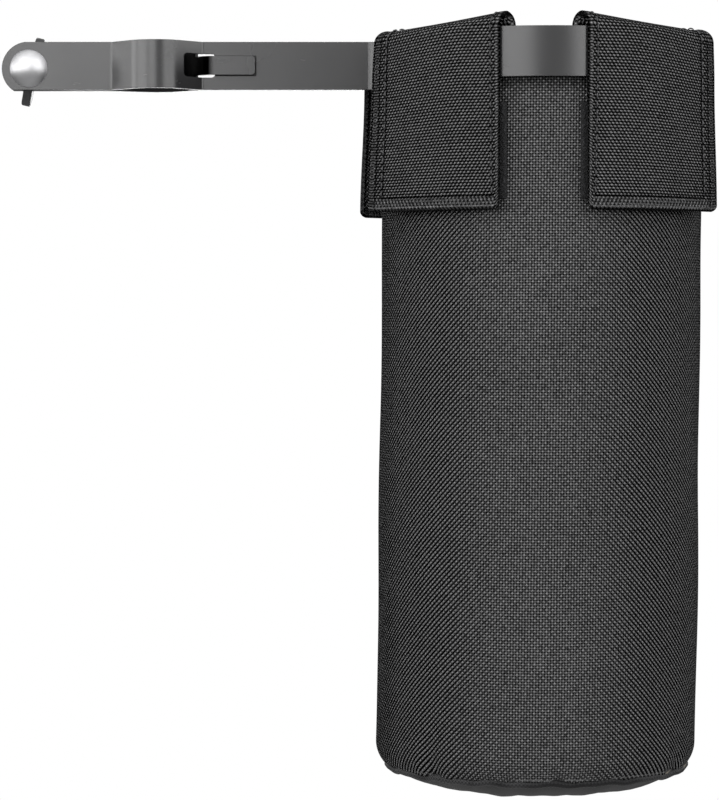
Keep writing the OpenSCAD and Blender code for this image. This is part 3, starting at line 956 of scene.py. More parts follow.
class MeshMaker:
    """Gathers points and faces and makes the mesh object."""

    def __init__(self, name: str) -> None:
        """Starts an empty mesh.

        Args:
            name: the piece's name.
        """
        self.name = name
        self.points: list[Array] = []
        self.count = 0
        self.faces: list[tuple[int, ...]] = []
        self.maps: dict[str, list[tuple[float, float]]] = {}

    def add_points(self, points: Array) -> int:
        """Adds points and returns the number of the first."""
        first = self.count
        flat = np.asarray(points, float).reshape(-1, 3)
        self.points.append(flat)
        self.count += len(flat)
        return first

    def add_grid(
        self, points: Array, wrap: bool = False, flip: bool = False, **maps: Array
    ) -> int:
        """Adds a grid of points with its faces.

        Args:
            points: rows x columns x 3.
            wrap: whether the last column joins the first.
            flip: whether the faces look the other way.
            **maps: for each map, rows x columns x 2, with one more column where the grid wraps.

        Returns:
            The number of the first point.
        """
        rows, columns = points.shape[:2]
        first = self.add_points(points)
        spans = columns if wrap else columns - 1
        for i in range(rows - 1):
            for j in range(spans):
                corners = [(i, j), (i + 1, j), (i + 1, j + 1), (i, j + 1)]
                if flip:
                    corners.reverse()
                self.faces.append(tuple(first + a * columns + b % columns for a, b in corners))
                for name, grid in maps.items():
                    coordinates = self.maps.setdefault(name, [])
                    coordinates.extend(tuple(grid[a, b]) for a, b in corners)
        return first

    def add_rim(self, outer: list[int], inner: list[int], closed: bool, **maps: Array) -> None:
        """Joins two edges with a strip of faces.

        Args:
            outer: point numbers along one edge.
            inner: as many point numbers along the other edge.
            closed: whether the edges are loops.
            **maps: for each map, the coordinates of the points along the outer edge.
        """
        count = len(outer)
        for k in range(count if closed else count - 1):
            after = (k + 1) % count
            self.faces.append((outer[k], outer[after], inner[after], inner[k]))
            for name, line in maps.items():
                here, there = tuple(line[k]), tuple(line[k + 1])
                self.maps.setdefault(name, []).extend((here, there, there, here))

    def add_layers(self, outer: Array, inner: Array, wrap: bool, **maps: Array) -> None:
        """Adds a closed solid between two grids of the same shape.

        Args:
            outer: the outer layer's grid.
            inner: the inner layer's grid.
            wrap: whether the grids close on themselves.
            **maps: as for add_grid.
        """
        rows, columns = outer.shape[:2]
        first = self.add_grid(outer, wrap, **maps)
        second = self.add_grid(inner, wrap, flip=True, **maps)
        for row in (0, rows - 1):
            line = [row * columns + j for j in range(columns)]
            edge = {name: grid[row] for name, grid in maps.items()}
            self.add_rim([first + k for k in line], [second + k for k in line], wrap, **edge)
        if wrap:
            return
        for column in (0, columns - 1):
            line = [i * columns + column for i in range(rows)]
            edge = {name: grid[:, column] for name, grid in maps.items()}
            self.add_rim([first + k for k in line], [second + k for k in line], False, **edge)

    def add_cap(self, first: int, count: int, flip: bool = False) -> None:
        """Closes a ring of points with one face.

        Args:
            first: the number of the ring's first point.
            count: how many points it has.
            flip: whether the face looks the other way.
        """
        face = tuple(range(first, first + count))
        self.faces.append(face[::-1] if flip else face)
        for coordinates in self.maps.values():
            coordinates.extend([(0.0, 0.0)] * count)

    def make(self) -> bpy.types.Object:
        """Makes the object: doubles merged, faces turned outwards, smooth."""
        mesh = bpy.data.meshes.new(self.name)
        mesh.from_pydata(np.concatenate(self.points).tolist(), [], self.faces)
        for name, coordinates in self.maps.items():
            layer = mesh.uv_layers.new(name=name)
            layer.data.foreach_set("uv", np.asarray(coordinates, np.float32).ravel())
        work = bmesh.new()
        work.from_mesh(mesh)
        bmesh.ops.remove_doubles(work, verts=work.verts, dist=MERGE)
        bmesh.ops.recalc_face_normals(work, faces=work.faces)
        for face in work.faces:
            face.smooth = True
        work.to_mesh(mesh)
        work.free()
        return add_object(self.name, mesh)


def layered(
    name: str, outer: Array, inner: Array, wrap: bool = False, **maps: Array
) -> bpy.types.Object:
    """Makes a closed piece between two grids of points.

    Args:
        name: the piece's name.
        outer: the outer layer's grid.
        inner: the inner layer's grid.
        wrap: whether the grids close on themselves.
        **maps: as for MeshMaker.add_grid.

    Returns:
        The piece.
    """
    maker = MeshMaker(name)
    maker.add_layers(outer, inner, wrap, **maps)
    return maker.make()


def grid_normals(points: Array, wrap: bool = False) -> Array:
    """Normals of a grid of points: rows go one way, columns the other.

    Args:
        points: rows x columns x 3.
        wrap: whether the columns close on themselves.

    Returns:
        Unit normals of the same shape.
    """
    if wrap:
        across = np.roll(points, -1, axis=1) - np.roll(points, 1, axis=1)
    else:
        across = np.gradient(points, axis=1)
    return unit(np.cross(np.gradient(points, axis=0), across))


@dataclass(frozen=True)
class StitchLine:
    """A row of lockstitches along a path on a surface.

    Attributes:
        pitch: distance from stitch to stitch, in metres.
        length: length of one visible stitch.
        radius: radius of the thread.
        sink: how deep the stitch's middle lies under the surface.
        rings: the tube's rings: shares of its length from its middle, and of its radius.
        sides: how many sides the tube has.
    """

    pitch: float = 0.0027
    length: float = 0.0021
    radius: float = 0.00026
    sink: float = 0.00002
    rings: tuple[tuple[float, float], ...] = (
        (-0.5, 0.15), (-0.4, 0.8), (-0.15, 1.0), (0.15, 1.0), (0.4, 0.8), (0.5, 0.15),
    )
    sides: int = 6

    def sew(self, maker: MeshMaker, path: Array, normals: Array) -> int:
        """Adds the stitches to a mesh.

        Args:
            maker: the mesh that gets them.
            path: points along the row.
            normals: the surface's normals at these points.

        Returns:
            How many stitches were added.
        """
        steps = np.linalg.norm(np.diff(path, axis=0), axis=1)
        walked = np.concatenate([[0.0], np.cumsum(steps)])
        count = int(walked[-1] // self.pitch)
        margin = (walked[-1] - count * self.pitch) / 2
        turns = np.arange(self.sides) * 2 * math.pi / self.sides
        for k in range(count):
            middle = margin + (k + 0.5) * self.pitch
            stops = np.array([middle + share * self.length for share, _ in self.rings])
            centre = np.stack([np.interp(stops, walked, path[:, a]) for a in range(3)], 1)
            up = unit(np.array([np.interp(middle, walked, normals[:, a]) for a in range(3)]))
            side = unit(np.cross(centre[-1] - centre[0], up))
            bow = np.array([math.cos(math.pi * share) for share, _ in self.rings])
            centre = centre + up * (bow * self.radius - self.sink)[:, None]
            girth = np.array([size for _, size in self.rings]) * self.radius
            round_it = side * np.cos(turns)[:, None] + up * np.sin(turns)[:, None]
            tube = centre[:, None] + round_it[None] * girth[:, None, None]
            flat = np.zeros((len(self.rings), self.sides + 1, 2))
            first = maker.add_grid(tube, wrap=True, **{WEAVE_MAP: flat})
            last = first + (len(self.rings) - 1) * self.sides
            maker.add_cap(first, self.sides)
            maker.add_cap(last, self.sides, flip=True)
        return count


def add_hoop(
    maker: MeshMaker, path: Array, normals: Array, radius: float, sides: int = 10
) -> None:
    """Adds a round tube along a path that closes on itself.

    Args:
        maker: the mesh that gets it.
        path: points along the middle line.
        normals: a direction square to the path at each point.
        radius: the tube's radius.
        sides: the tube's sides.
    """
    heading = unit(np.roll(path, -1, axis=0) - np.roll(path, 1, axis=0))
    side = unit(np.cross(heading, normals))
    turns = np.arange(sides) * 2 * math.pi / sides
    ring = side[:, None] * np.cos(turns)[None, :, None]
    ring = ring + normals[:, None] * np.sin(turns)[None, :, None]
    tube = path[:, None] + ring * radius
    tube = np.concatenate([tube, tube[:1]])
    steps = np.linalg.norm(np.diff(path, axis=0, append=path[:1]), axis=1)
    walked = np.concatenate([[0.0], np.cumsum(steps)])
    around = np.linspace(0.0, 2 * math.pi * radius, sides + 1)
    coordinates = np.stack(np.meshgrid(walked, around, indexing="ij"), axis=2)
    maker.add_grid(tube, wrap=True, **{WEAVE_MAP: coordinates})


# ----- The bag -----


@dataclass(frozen=True)
class BagSpace:
    """Where the bag hangs, from the frame. Angles start at the front and grow towards +X.

    Attributes:
        x: the bag's axis.
        y: the bag's axis.
        wall_r: outer radius of the wall.
        seam_z: height of the bottom seam.
        lean: how far the bag hangs to -X for each metre of depth.
        turn: how far the sewn bag is turned about its axis, towards the arm.
    """

    x: float
    y: float
    wall_r: float
    seam_z: float
    lean: float = 0.0095
    turn: float = math.radians(3)

    @classmethod
    def from_frame(cls) -> "BagSpace":
        """Reads the space from the frame's shell."""
        low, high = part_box("bag_shell")
        middle = (low + high) / 2
        return cls(middle.x, middle.y, (high.x - low.x) / 2, low.z)

    def place(self, radius: Array | float, angle: Array, z: Array | float) -> Array:
        """Points round the bag's axis, which leans a little.

        Args:
            radius: distance from the axis.
            angle: angle from the front, in radians.
            z: height.

        Returns:
            The points, with one more dimension.
        """
        radius, angle, z = np.broadcast_arrays(radius, angle, z)
        x = self.x + radius * np.sin(angle) + np.minimum(z, 0.0) * self.lean
        return np.stack([x, self.y - radius * np.cos(angle), z], axis=-1)

    def outward(self, angle: Array) -> Array:
        """Level unit vectors away from the axis."""
        return np.stack([np.sin(angle), -np.cos(angle), np.zeros_like(angle)], axis=-1)


@dataclass(frozen=True)
class Pucker:
    """A gather in the wall above the bottom seam.

    Attributes:
        angle: where it is, in degrees from the front towards +X.
        width: its width round the bag, in metres.
        rise: how high it runs above the seam, in metres.
        depth: how deep it is, in metres.
    """

    angle: float
    width: float
    rise: float
    depth: float

    def press(self, angle: Array, height: Array, radius: float) -> Array:
        """How far the wall is pressed in at an angle and a height above the seam."""
        turn = (angle - math.radians(self.angle) + math.pi) % (2 * math.pi) - math.pi
        across = turn * radius / self.width
        valley = np.exp(-(across**2) * 4) - 0.45 * np.exp(-((np.abs(across) - 1.0) ** 2) * 5)
        return self.depth * valley * np.exp(-np.maximum(height, 0.0) / self.rise)


@dataclass(frozen=True)
class PaddingSimulation:
    """Cloth simulation that plumps the padded wall between its rim and its bottom seam.

    Attributes:
        columns: how many points go round the wall.
        rows: how many go down it.
        pressure: what the padding presses with.
        frames: how long the cloth settles.
        cap: the largest displacement that is kept, in metres.
        mass: mass of a point of the cloth, in kilograms.
        stretch: how stiff the cloth is against stretching and squeezing.
        bend: how stiff it is against bending.
        quality: the simulation's steps in a frame.
        even_out: share of the mean displacement that is taken off again.
        pin: name of the group that holds the rim and the seam.
    """

    columns: int = 96
    rows: int = 64
    pressure: float = 4.0
    frames: int = 20
    cap: float = 0.0009
    mass: float = 0.2
    stretch: float = 20.0
    bend: float = 2.0
    quality: int = 6
    even_out: float = 0.5
    pin: str = "held"

    def run(self, points: Array) -> Array:
        """Settles the cloth.

        Args:
            points: the wall at rest about the Z axis, rows x columns x 3, from rim to seam.

        Returns:
            How far each point moves outward, rows x columns.
        """
        maker = MeshMaker("padding_cloth")
        maker.add_grid(points, wrap=True)
        cloth = maker.make()
        group = cloth.vertex_groups.new(name=self.pin)
        held = list(range(2 * self.columns)) + list(
            range((self.rows - 2) * self.columns, self.rows * self.columns)
        )
        group.add(held, 1.0, "REPLACE")
        settings = cloth.modifiers.new("padding", "CLOTH").settings
        settings.quality = self.quality
        settings.mass = self.mass
        settings.tension_stiffness = settings.compression_stiffness = self.stretch
        settings.bending_stiffness = self.bend
        settings.use_pressure = True
        settings.uniform_pressure_force = self.pressure
        settings.vertex_group_mass = self.pin
        settings.effector_weights.gravity = 0.0
        scene = bpy.context.scene
        for frame in range(1, self.frames + 1):
            scene.frame_set(frame)
        settled = cloth.evaluated_get(bpy.context.evaluated_depsgraph_get()).data
        found = np.empty(len(settled.vertices) * 3)
        settled.vertices.foreach_get("co", found)
        found = found.reshape(self.rows, self.columns, 3)
        scene.frame_set(1)
        mesh = cloth.data
        bpy.data.objects.remove(cloth)
        bpy.data.meshes.remove(mesh)
        after, before = (np.hypot(grid[:, :, 0], grid[:, :, 1]) for grid in (found, points))
        moved = after - before
        moved = moved - moved.mean() * self.even_out
        LOG.info("padding: moved %.2f mm to %.2f mm", moved.min() * 1000, moved.max() * 1000)
        return np.clip(moved, -self.cap, self.cap)


@dataclass
class Bag:
    """The padded tube: wall, padding, lining, bottom and their tapes.

    Attributes:
        space: where it hangs.
        finishes: the materials.
        wall_t: thickness of the woven wall.
        wall_length: length of its cloth, from the rim to the edge turned in below the seam.
        foam_t: thickness of the foam.
        lining_t: thickness of the lining.
        gap: the gap between two layers.
        corner_r: radius of the corner above the bottom seam.
        seam_step: inward step from the wall to the bottom seam.
        bottom_depth: how far the bottom bulges under its seam.
        piping_r: radius of the cord round the bottom.
        tape_t: thickness of the tapes.
        seam_tape_w: width of the tape down the back.
        seam_rows: where its two rows of stitches run, as shares of its width.
        binding_drop: how far the rim's binding reaches down inside.
        columns: how many points go round the layers.
        wall_rows: how many go down the straight wall.
        corner_rows: how many go round its bottom corner.
        bottom_shares: the bottom's rings, as shares of its radius.
        bottom_waves: slack of the bottom's cloth: waves round it and where they start.
        puckers: gathers in the wall above the bottom seam.
        seed: what the ripples are drawn with.
        ripples: the wall's ripples: amplitude, waves round, waves down and phase.
        simulation: what plumps the wall.
        plump: what it found, rows x columns.
    """

    space: BagSpace
    finishes: Finishes
    wall_t: float = 0.0012
    wall_length: float = 0.236
    foam_t: float = 0.0033
    lining_t: float = 0.0008
    gap: float = 0.0001
    corner_r: float = 0.011
    seam_step: float = 0.0032
    bottom_depth: float = 0.0076
    piping_r: float = 0.0013
    tape_t: float = 0.0006
    seam_tape_w: float = 0.012
    seam_rows: tuple[float, ...] = (0.14, 0.86)
    binding_drop: float = 0.009
    columns: int = 288
    wall_rows: int = 110
    corner_rows: int = 16
    bottom_shares: tuple[float, ...] = (
        1.0, 0.995, 0.985, 0.965, 0.94, 0.91, 0.87, 0.82, 0.75, 0.66, 0.55, 0.42, 0.28, 0.14, 0.0,
    )
    bottom_waves: tuple[tuple[int, float], ...] = ((5, 0.4), (9, 2.0), (14, 4.4), (23, 1.1))
    puckers: tuple[Pucker, ...] = (
        Pucker(-43.0, 0.006, 0.011, 0.0016),
        Pucker(6.0, 0.005, 0.008, 0.0014),
        Pucker(58.0, 0.007, 0.008, 0.0009),
        Pucker(-95.0, 0.006, 0.009, 0.001),
        Pucker(108.0, 0.006, 0.009, 0.0012),
        Pucker(152.0, 0.007, 0.01, 0.0011),
        Pucker(-148.0, 0.006, 0.009, 0.0012),
    )
    seed: int = 7
    ripples: list[tuple[float, float, float, float]] = field(default_factory=list)
    simulation: PaddingSimulation = PaddingSimulation()
    plump: Array | None = None

    def __post_init__(self) -> None:
        """Draws the wall's small ripples: amplitude, waves round, waves down, phase."""
        dice = random.Random(self.seed)
        for waves in (2, 3, 5, 7, 11):
            size = dice.uniform(0.00012, 0.0002) / math.sqrt(waves / 3)
            self.ripples.append((size, waves, dice.uniform(6, 34), dice.uniform(0, 2 * math.pi)))

    @property
    def around(self) -> Array:
        """Angles of the columns, from the back seam round to it."""
        return np.linspace(-math.pi, math.pi, self.columns, endpoint=False)

    @property
    def lining_r(self) -> float:
        """The lining's outer radius."""
        return self.space.wall_r - self.wall_t - 2 * self.gap - self.foam_t

    def press(self, angle: Array, z: Array) -> Array:
        """How far the puckers press the wall in."""
        above = z - self.space.seam_z
        return sum(pucker.press(angle, above, self.space.wall_r) for pucker in self.puckers)

    def ripple(self, angle: Array, z: Array) -> Array:
        """Soft unevenness of the padded wall, in metres."""
        total = np.zeros(np.broadcast(angle, z).shape)
        for size, waves, down, phase in self.ripples:
            total = total + size * np.sin(waves * angle + down * z * math.pi + phase)
        return (total + self.swell(angle, z)) * smooth_step(-z, 0.03, 0.08)

    def settle_padding(self) -> None:
        shape = self.simulation
        z = np.linspace(0.0, self.space.seam_z, shape.rows)[:, None]
        angle = np.linspace(-math.pi, math.pi, shape.columns, endpoint=False)[None, :]
        radius = self.space.wall_r + self.ripple(angle, z) * 1.5 - self.press(angle, z)
        x, y, z = np.broadcast_arrays(radius * np.sin(angle), -radius * np.cos(angle), z)
        self.plump = shape.run(np.stack([x, y, z], axis=2))

    def swell(self, angle: Array, z: Array) -> Array | float:
        """What the simulation adds to the wall's radius."""
        if self.plump is None:
            return 0.0
        rows, columns = self.plump.shape
        around = (np.asarray(angle) / (2 * math.pi) + 0.5) % 1.0 * columns
        down = np.clip(np.asarray(z) / self.space.seam_z, 0.0, 1.0) * (rows - 1.001)
        around, down = np.broadcast_arrays(around, down)
        column, row = around.astype(int) % columns, down.astype(int)
        right, low = around - np.floor(around), down - row
        beside = (column + 1) % columns
        upper = self.plump[row, column] * (1 - right) + self.plump[row, beside] * right
        lower = self.plump[row + 1, column] * (1 - right) + self.plump[row + 1, beside] * right
        return upper * (1 - low) + lower * low

    def wall_profile(self, inset: float) -> list[tuple[float, float]]:
        """Radius and height down the wall and round its bottom corner.

        Args:
            inset: distance inside the wall's outer face.

        Returns:
            Pairs from the rim to the seam.
        """
        radius = self.space.wall_r
        centre_r = radius - self.corner_r
        turn = math.acos(1 - self.seam_step / self.corner_r)
        corner_z = self.space.seam_z + self.corner_r * math.sin(turn)
        small = self.corner_r - inset
        straight = [(radius - inset, z) for z in spaced(0.0, corner_z, self.wall_rows)]
        bend = [
            (centre_r + small * math.cos(a), corner_z - small * math.sin(a))
            for a in np.linspace(0.0, turn, self.corner_rows)
        ]
        return straight + bend

    def layer(self, profile: list[tuple[float, float]], follow: float = 1.0) -> Array:
        """Turns a profile about the bag's axis, with the wall's ripples and puckers.

        Args:
            profile: radius and height pairs.
            follow: how much of the ripples and puckers the layer takes.

        Returns:
            Rows x columns x 3.
        """
        radius = np.array([r for r, _ in profile])[:, None]
        z = np.array([h for _, h in profile])[:, None]
        angle = self.around[None, :]
        change = self.ripple(angle, z) - self.press(angle, z)
        return self.space.place(radius + change * follow, angle, z)

    def turn_map(self, profile: list[tuple[float, float]]) -> Array:
        """The weave map of a turned layer: distance round and distance down."""
        radius = np.array([r for r, _ in profile])
        z = np.array([h for _, h in profile])
        steps = np.hypot(np.diff(radius), np.diff(z))
        down = -np.concatenate([[0.0], np.cumsum(steps)])
        round_it = np.linspace(-math.pi, math.pi, self.columns + 1) * self.space.wall_r
        return np.stack(np.meshgrid(down, round_it, indexing="ij")[::-1], axis=2)

    def shell_between(
        self,
        name: str,
        outer: list[tuple[float, float]],
        inner: list[tuple[float, float]],
        follow: float = 1.0,
    ) -> bpy.types.Object:
        """Makes a closed turned piece between two profiles of the same length."""
        maps = {WEAVE_MAP: self.turn_map(outer)}
        return layered(name, self.layer(outer, follow), self.layer(inner, follow), True, **maps)

    def wall(self) -> None:
        """The woven outer wall."""
        outer = self.wall_profile(0.0)
        lip = self.wall_t * 0.35
        outer[0] = (outer[0][0] - lip, outer[0][1])
        outer.insert(1, (self.space.wall_r, -lip))
        inner = self.wall_profile(self.wall_t)
        inner.insert(1, (inner[0][0], -lip))
        piece = self.shell_between("bag_wall", outer, inner)
        self.finishes.fit(piece, "woven_nylon", "root", "bag_shell")

    def foam(self) -> None:
        """The foam between the wall and the lining."""
        outer = self.wall_profile(self.wall_t + self.gap)
        foam_in = self.space.wall_r - self.wall_t - self.gap - self.foam_t
        inner = [(min(foam_in, r - self.gap), z) for r, z in outer]
        piece = self.shell_between("bag_foam", outer, inner, 0.8)
        self.finishes.fit(piece, "foam", "root", "foam_pad")

    def lining(self) -> None:
        """The lining: wall and floor, a little slack."""
        radius = self.lining_r
        floor_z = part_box("lining")[0].z
        rounding = 0.003
        bend_r, bend_z = radius - rounding, floor_z + rounding
        outer = [(radius, z) for z in spaced(-0.0002, bend_z, 70)]
        outer += [
            (bend_r + rounding * math.cos(a), bend_z - rounding * math.sin(a))
            for a in np.linspace(0.0, math.pi / 2, 7)
        ]
        outer += [(radius * share, floor_z) for share in (0.85, 0.7, 0.5, 0.3, 0.12, 0.0)]
        inner = [
            (max(r - self.lining_t, 0.0), z if z > bend_z else z + self.lining_t)
            for r, z in outer
        ]
        piece = self.shell_between("bag_lining", outer, inner, 0.5)
        self.finishes.fit(piece, "lining_cloth", "root", "lining")
        height = -floor_z
        area = 2 * math.pi * radius * height + math.pi * radius**2
        flat = (2 * math.pi * radius, height + 2 * radius)

    def rim(self) -> None:
        """The binding over the rim's edge, folded over and sewn down inside."""
        inner_r = self.lining_r - self.lining_t
        top_r = (inner_r + self.space.wall_r - self.wall_t) / 2
        half = (self.space.wall_r - self.wall_t - self.gap - inner_r) / 2
        shoulder_z, rise = -0.0006, 0.0007
        profiles = []
        for extra in (self.tape_t, 0.0):
            leg = [(inner_r - extra, z) for z in spaced(-self.binding_drop, shoulder_z, 12)]
            reach, height = half + extra, rise + extra
            arch = [
                (top_r + reach * math.cos(a), shoulder_z + height * math.sin(a))
                for a in np.linspace(math.pi, 0.06 * math.pi, 14)
            ]
            profiles.append(leg + arch)
        piece = self.shell_between("rim_tape", *profiles, 0.0)
        self.finishes.fit(piece, "binding_tape", "root", "rim_binding")
        maker = MeshMaker("rim_stitches")
        angle = np.linspace(-math.pi, math.pi, 400)
        drop = -self.binding_drop + 0.0018
        path = self.space.place(inner_r - self.tape_t, angle, drop)
        StitchLine().sew(maker, path, -self.space.outward(angle))
        self.finishes.fit(maker.make(), "thread", "root")

    def back_tape(self) -> None:
        """The tape over the wall's seam at the back, with a row of stitches along each edge."""
        low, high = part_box("back_seam_tape")
        half = self.seam_tape_w / 2 / self.space.wall_r
        z = np.linspace(high.z, low.z, 120)[:, None]
        shares = np.array([0.0, 0.03, 0.08, 0.2, 0.4, 0.5, 0.6, 0.8, 0.92, 0.97, 1.0])
        middle = math.pi - self.space.turn
        angle = middle + (shares * 2 - 1)[None, :] * half
        lift = self.tape_t * np.minimum(1.0, np.sqrt(np.minimum(shares, 1 - shares) / 0.08))
        base = self.space.wall_r + self.gap + self.ripple(angle, z) - self.press(angle, z)
        outer = self.space.place(base + lift[None, :], angle, z)
        inner = self.space.place(base, angle, z)
        grid = np.meshgrid(-z[:, 0], shares * self.seam_tape_w, indexing="ij")
        piece = layered("back_tape", outer, inner, **{WEAVE_MAP: np.stack(grid, axis=2)})
        self.finishes.fit(piece, "binding_tape", "root", "back_seam_tape")
        maker = MeshMaker("back_tape_stitches")
        z = z[:, 0]
        for share in self.seam_rows:
            line = np.full(len(z), middle + (share * 2 - 1) * half)
            lifted = self.space.wall_r + self.gap + self.tape_t + self.ripple(line, z)
            path = self.space.place(lifted, line, z)
            StitchLine().sew(maker, path, self.space.outward(line))
        self.finishes.fit(maker.make(), "thread", "root")

    def bottom(self) -> None:
        """The bottom panel and the cord round it."""
        tuck = 0.0006
        rim_r = self.space.wall_r - self.seam_step - tuck
        start_z = self.space.seam_z - tuck
        around = self.around
        slack = sum(0.00022 * np.sin(n * around + phase) for n, phase in self.bottom_waves)
        rows = []
        for share in self.bottom_shares:
            z = start_z - self.bottom_depth * (1 - share**4)
            crease = slack * share**2 * (1 - share) * 4
            rows.append(self.space.place(rim_r * share, around, z + crease))
        outer = np.stack(rows)
        inner = outer + np.array([0.0, 0.0, self.wall_t])
        inner[0] = outer[0] + self.space.outward(around) * -0.0009 + np.array([0, 0, tuck])
        flat_map = outer[:, :, :2]
        flat_map = np.concatenate([flat_map, flat_map[:, :1]], axis=1)
        piece = layered("bottom_cloth", outer, inner, True, **{WEAVE_MAP: flat_map})
        self.finishes.fit(piece, "base_cloth", "root", "bottom_panel")
        flat, area = (2 * rim_r, 2 * rim_r), math.pi * rim_r**2
        wobble = 0.00025 * np.sin(around * 17 + 1.0) + 0.0002 * np.sin(around * 31)
        piping_mid = self.space.wall_r - self.seam_step - self.piping_r * 0.55
        piping_z = self.space.seam_z - 0.0004
        path = self.space.place(piping_mid + wobble, around, piping_z + wobble)
        maker = MeshMaker("bottom_cord")
        add_hoop(maker, path, self.space.outward(around), self.piping_r)
        self.finishes.fit(maker.make(), "cord_cloth", "root", "bottom_piping")

    def build(self) -> None:
        """Builds every piece of the bag."""
        self.settle_padding()
        self.wall()
        self.foam()
        self.lining()
        self.rim()
        self.back_tape()
        self.bottom()


# ----- Tabs and flaps -----


@dataclass(frozen=True)
class Quarter:
    """One of the four tabs. Angles are in degrees, counted from the middle of its gap.

    Attributes:
        name: its name, which the frame's nodes and bodies end with.
        side: 1 on the left (-X), -1 on the right.
        face: 1 on the front (-Y), -1 on the back.
        own_turn: its further turn away from the gap.
        outer_angle: angle of its outer edge, before that turn.
        stand_top: how far its outer edge stands off the ring's round at the fold, in metres.
        stand_ring: the same just under the ring.
        stand_low: the same at the lower edge.
        gap_flare: how far its gap edge stands off at the bottom, in metres.
        outer_flare: share of the lower stand-off that belongs to the outer edge alone.
    """

    name: str
    side: int
    face: int
    own_turn: float
    outer_angle: float
    stand_top: float
    stand_ring: float
    stand_low: float
    gap_flare: float
    outer_flare: float = 0.4

    def stand(self, share: Array, z: Array) -> Array:
        """How far the flap stands off at a share of its width and a height."""
        under = (self.stand_ring - self.stand_top) * smooth_step(-z, -0.009, 0.008)
        lower = (self.stand_low - self.stand_ring) * smooth_step(-z, 0.008, 0.05)
        flare = self.outer_flare * smooth_step(-z, -0.004, 0.03)
        return (self.stand_top + under + lower) * (share**2 * (1 - flare) + share**5 * flare)


QUARTERS = (
    Quarter("front_left", 1, 1, 0.0, 62.2, 0.0050, 0.0058, 0.0073, 0.0010),
    Quarter("front_right", -1, 1, 0.0, 63.6, 0.0042, 0.0046, 0.0056, 0.0010),
    Quarter("back_left", 1, -1, 10.0, 62.7, 0.0038, 0.0063, 0.0074, 0.0006),
    Quarter("back_right", -1, -1, 0.0, 62.7, 0.0003, 0.0005, 0.0010, 0.0008, 0.0),
)


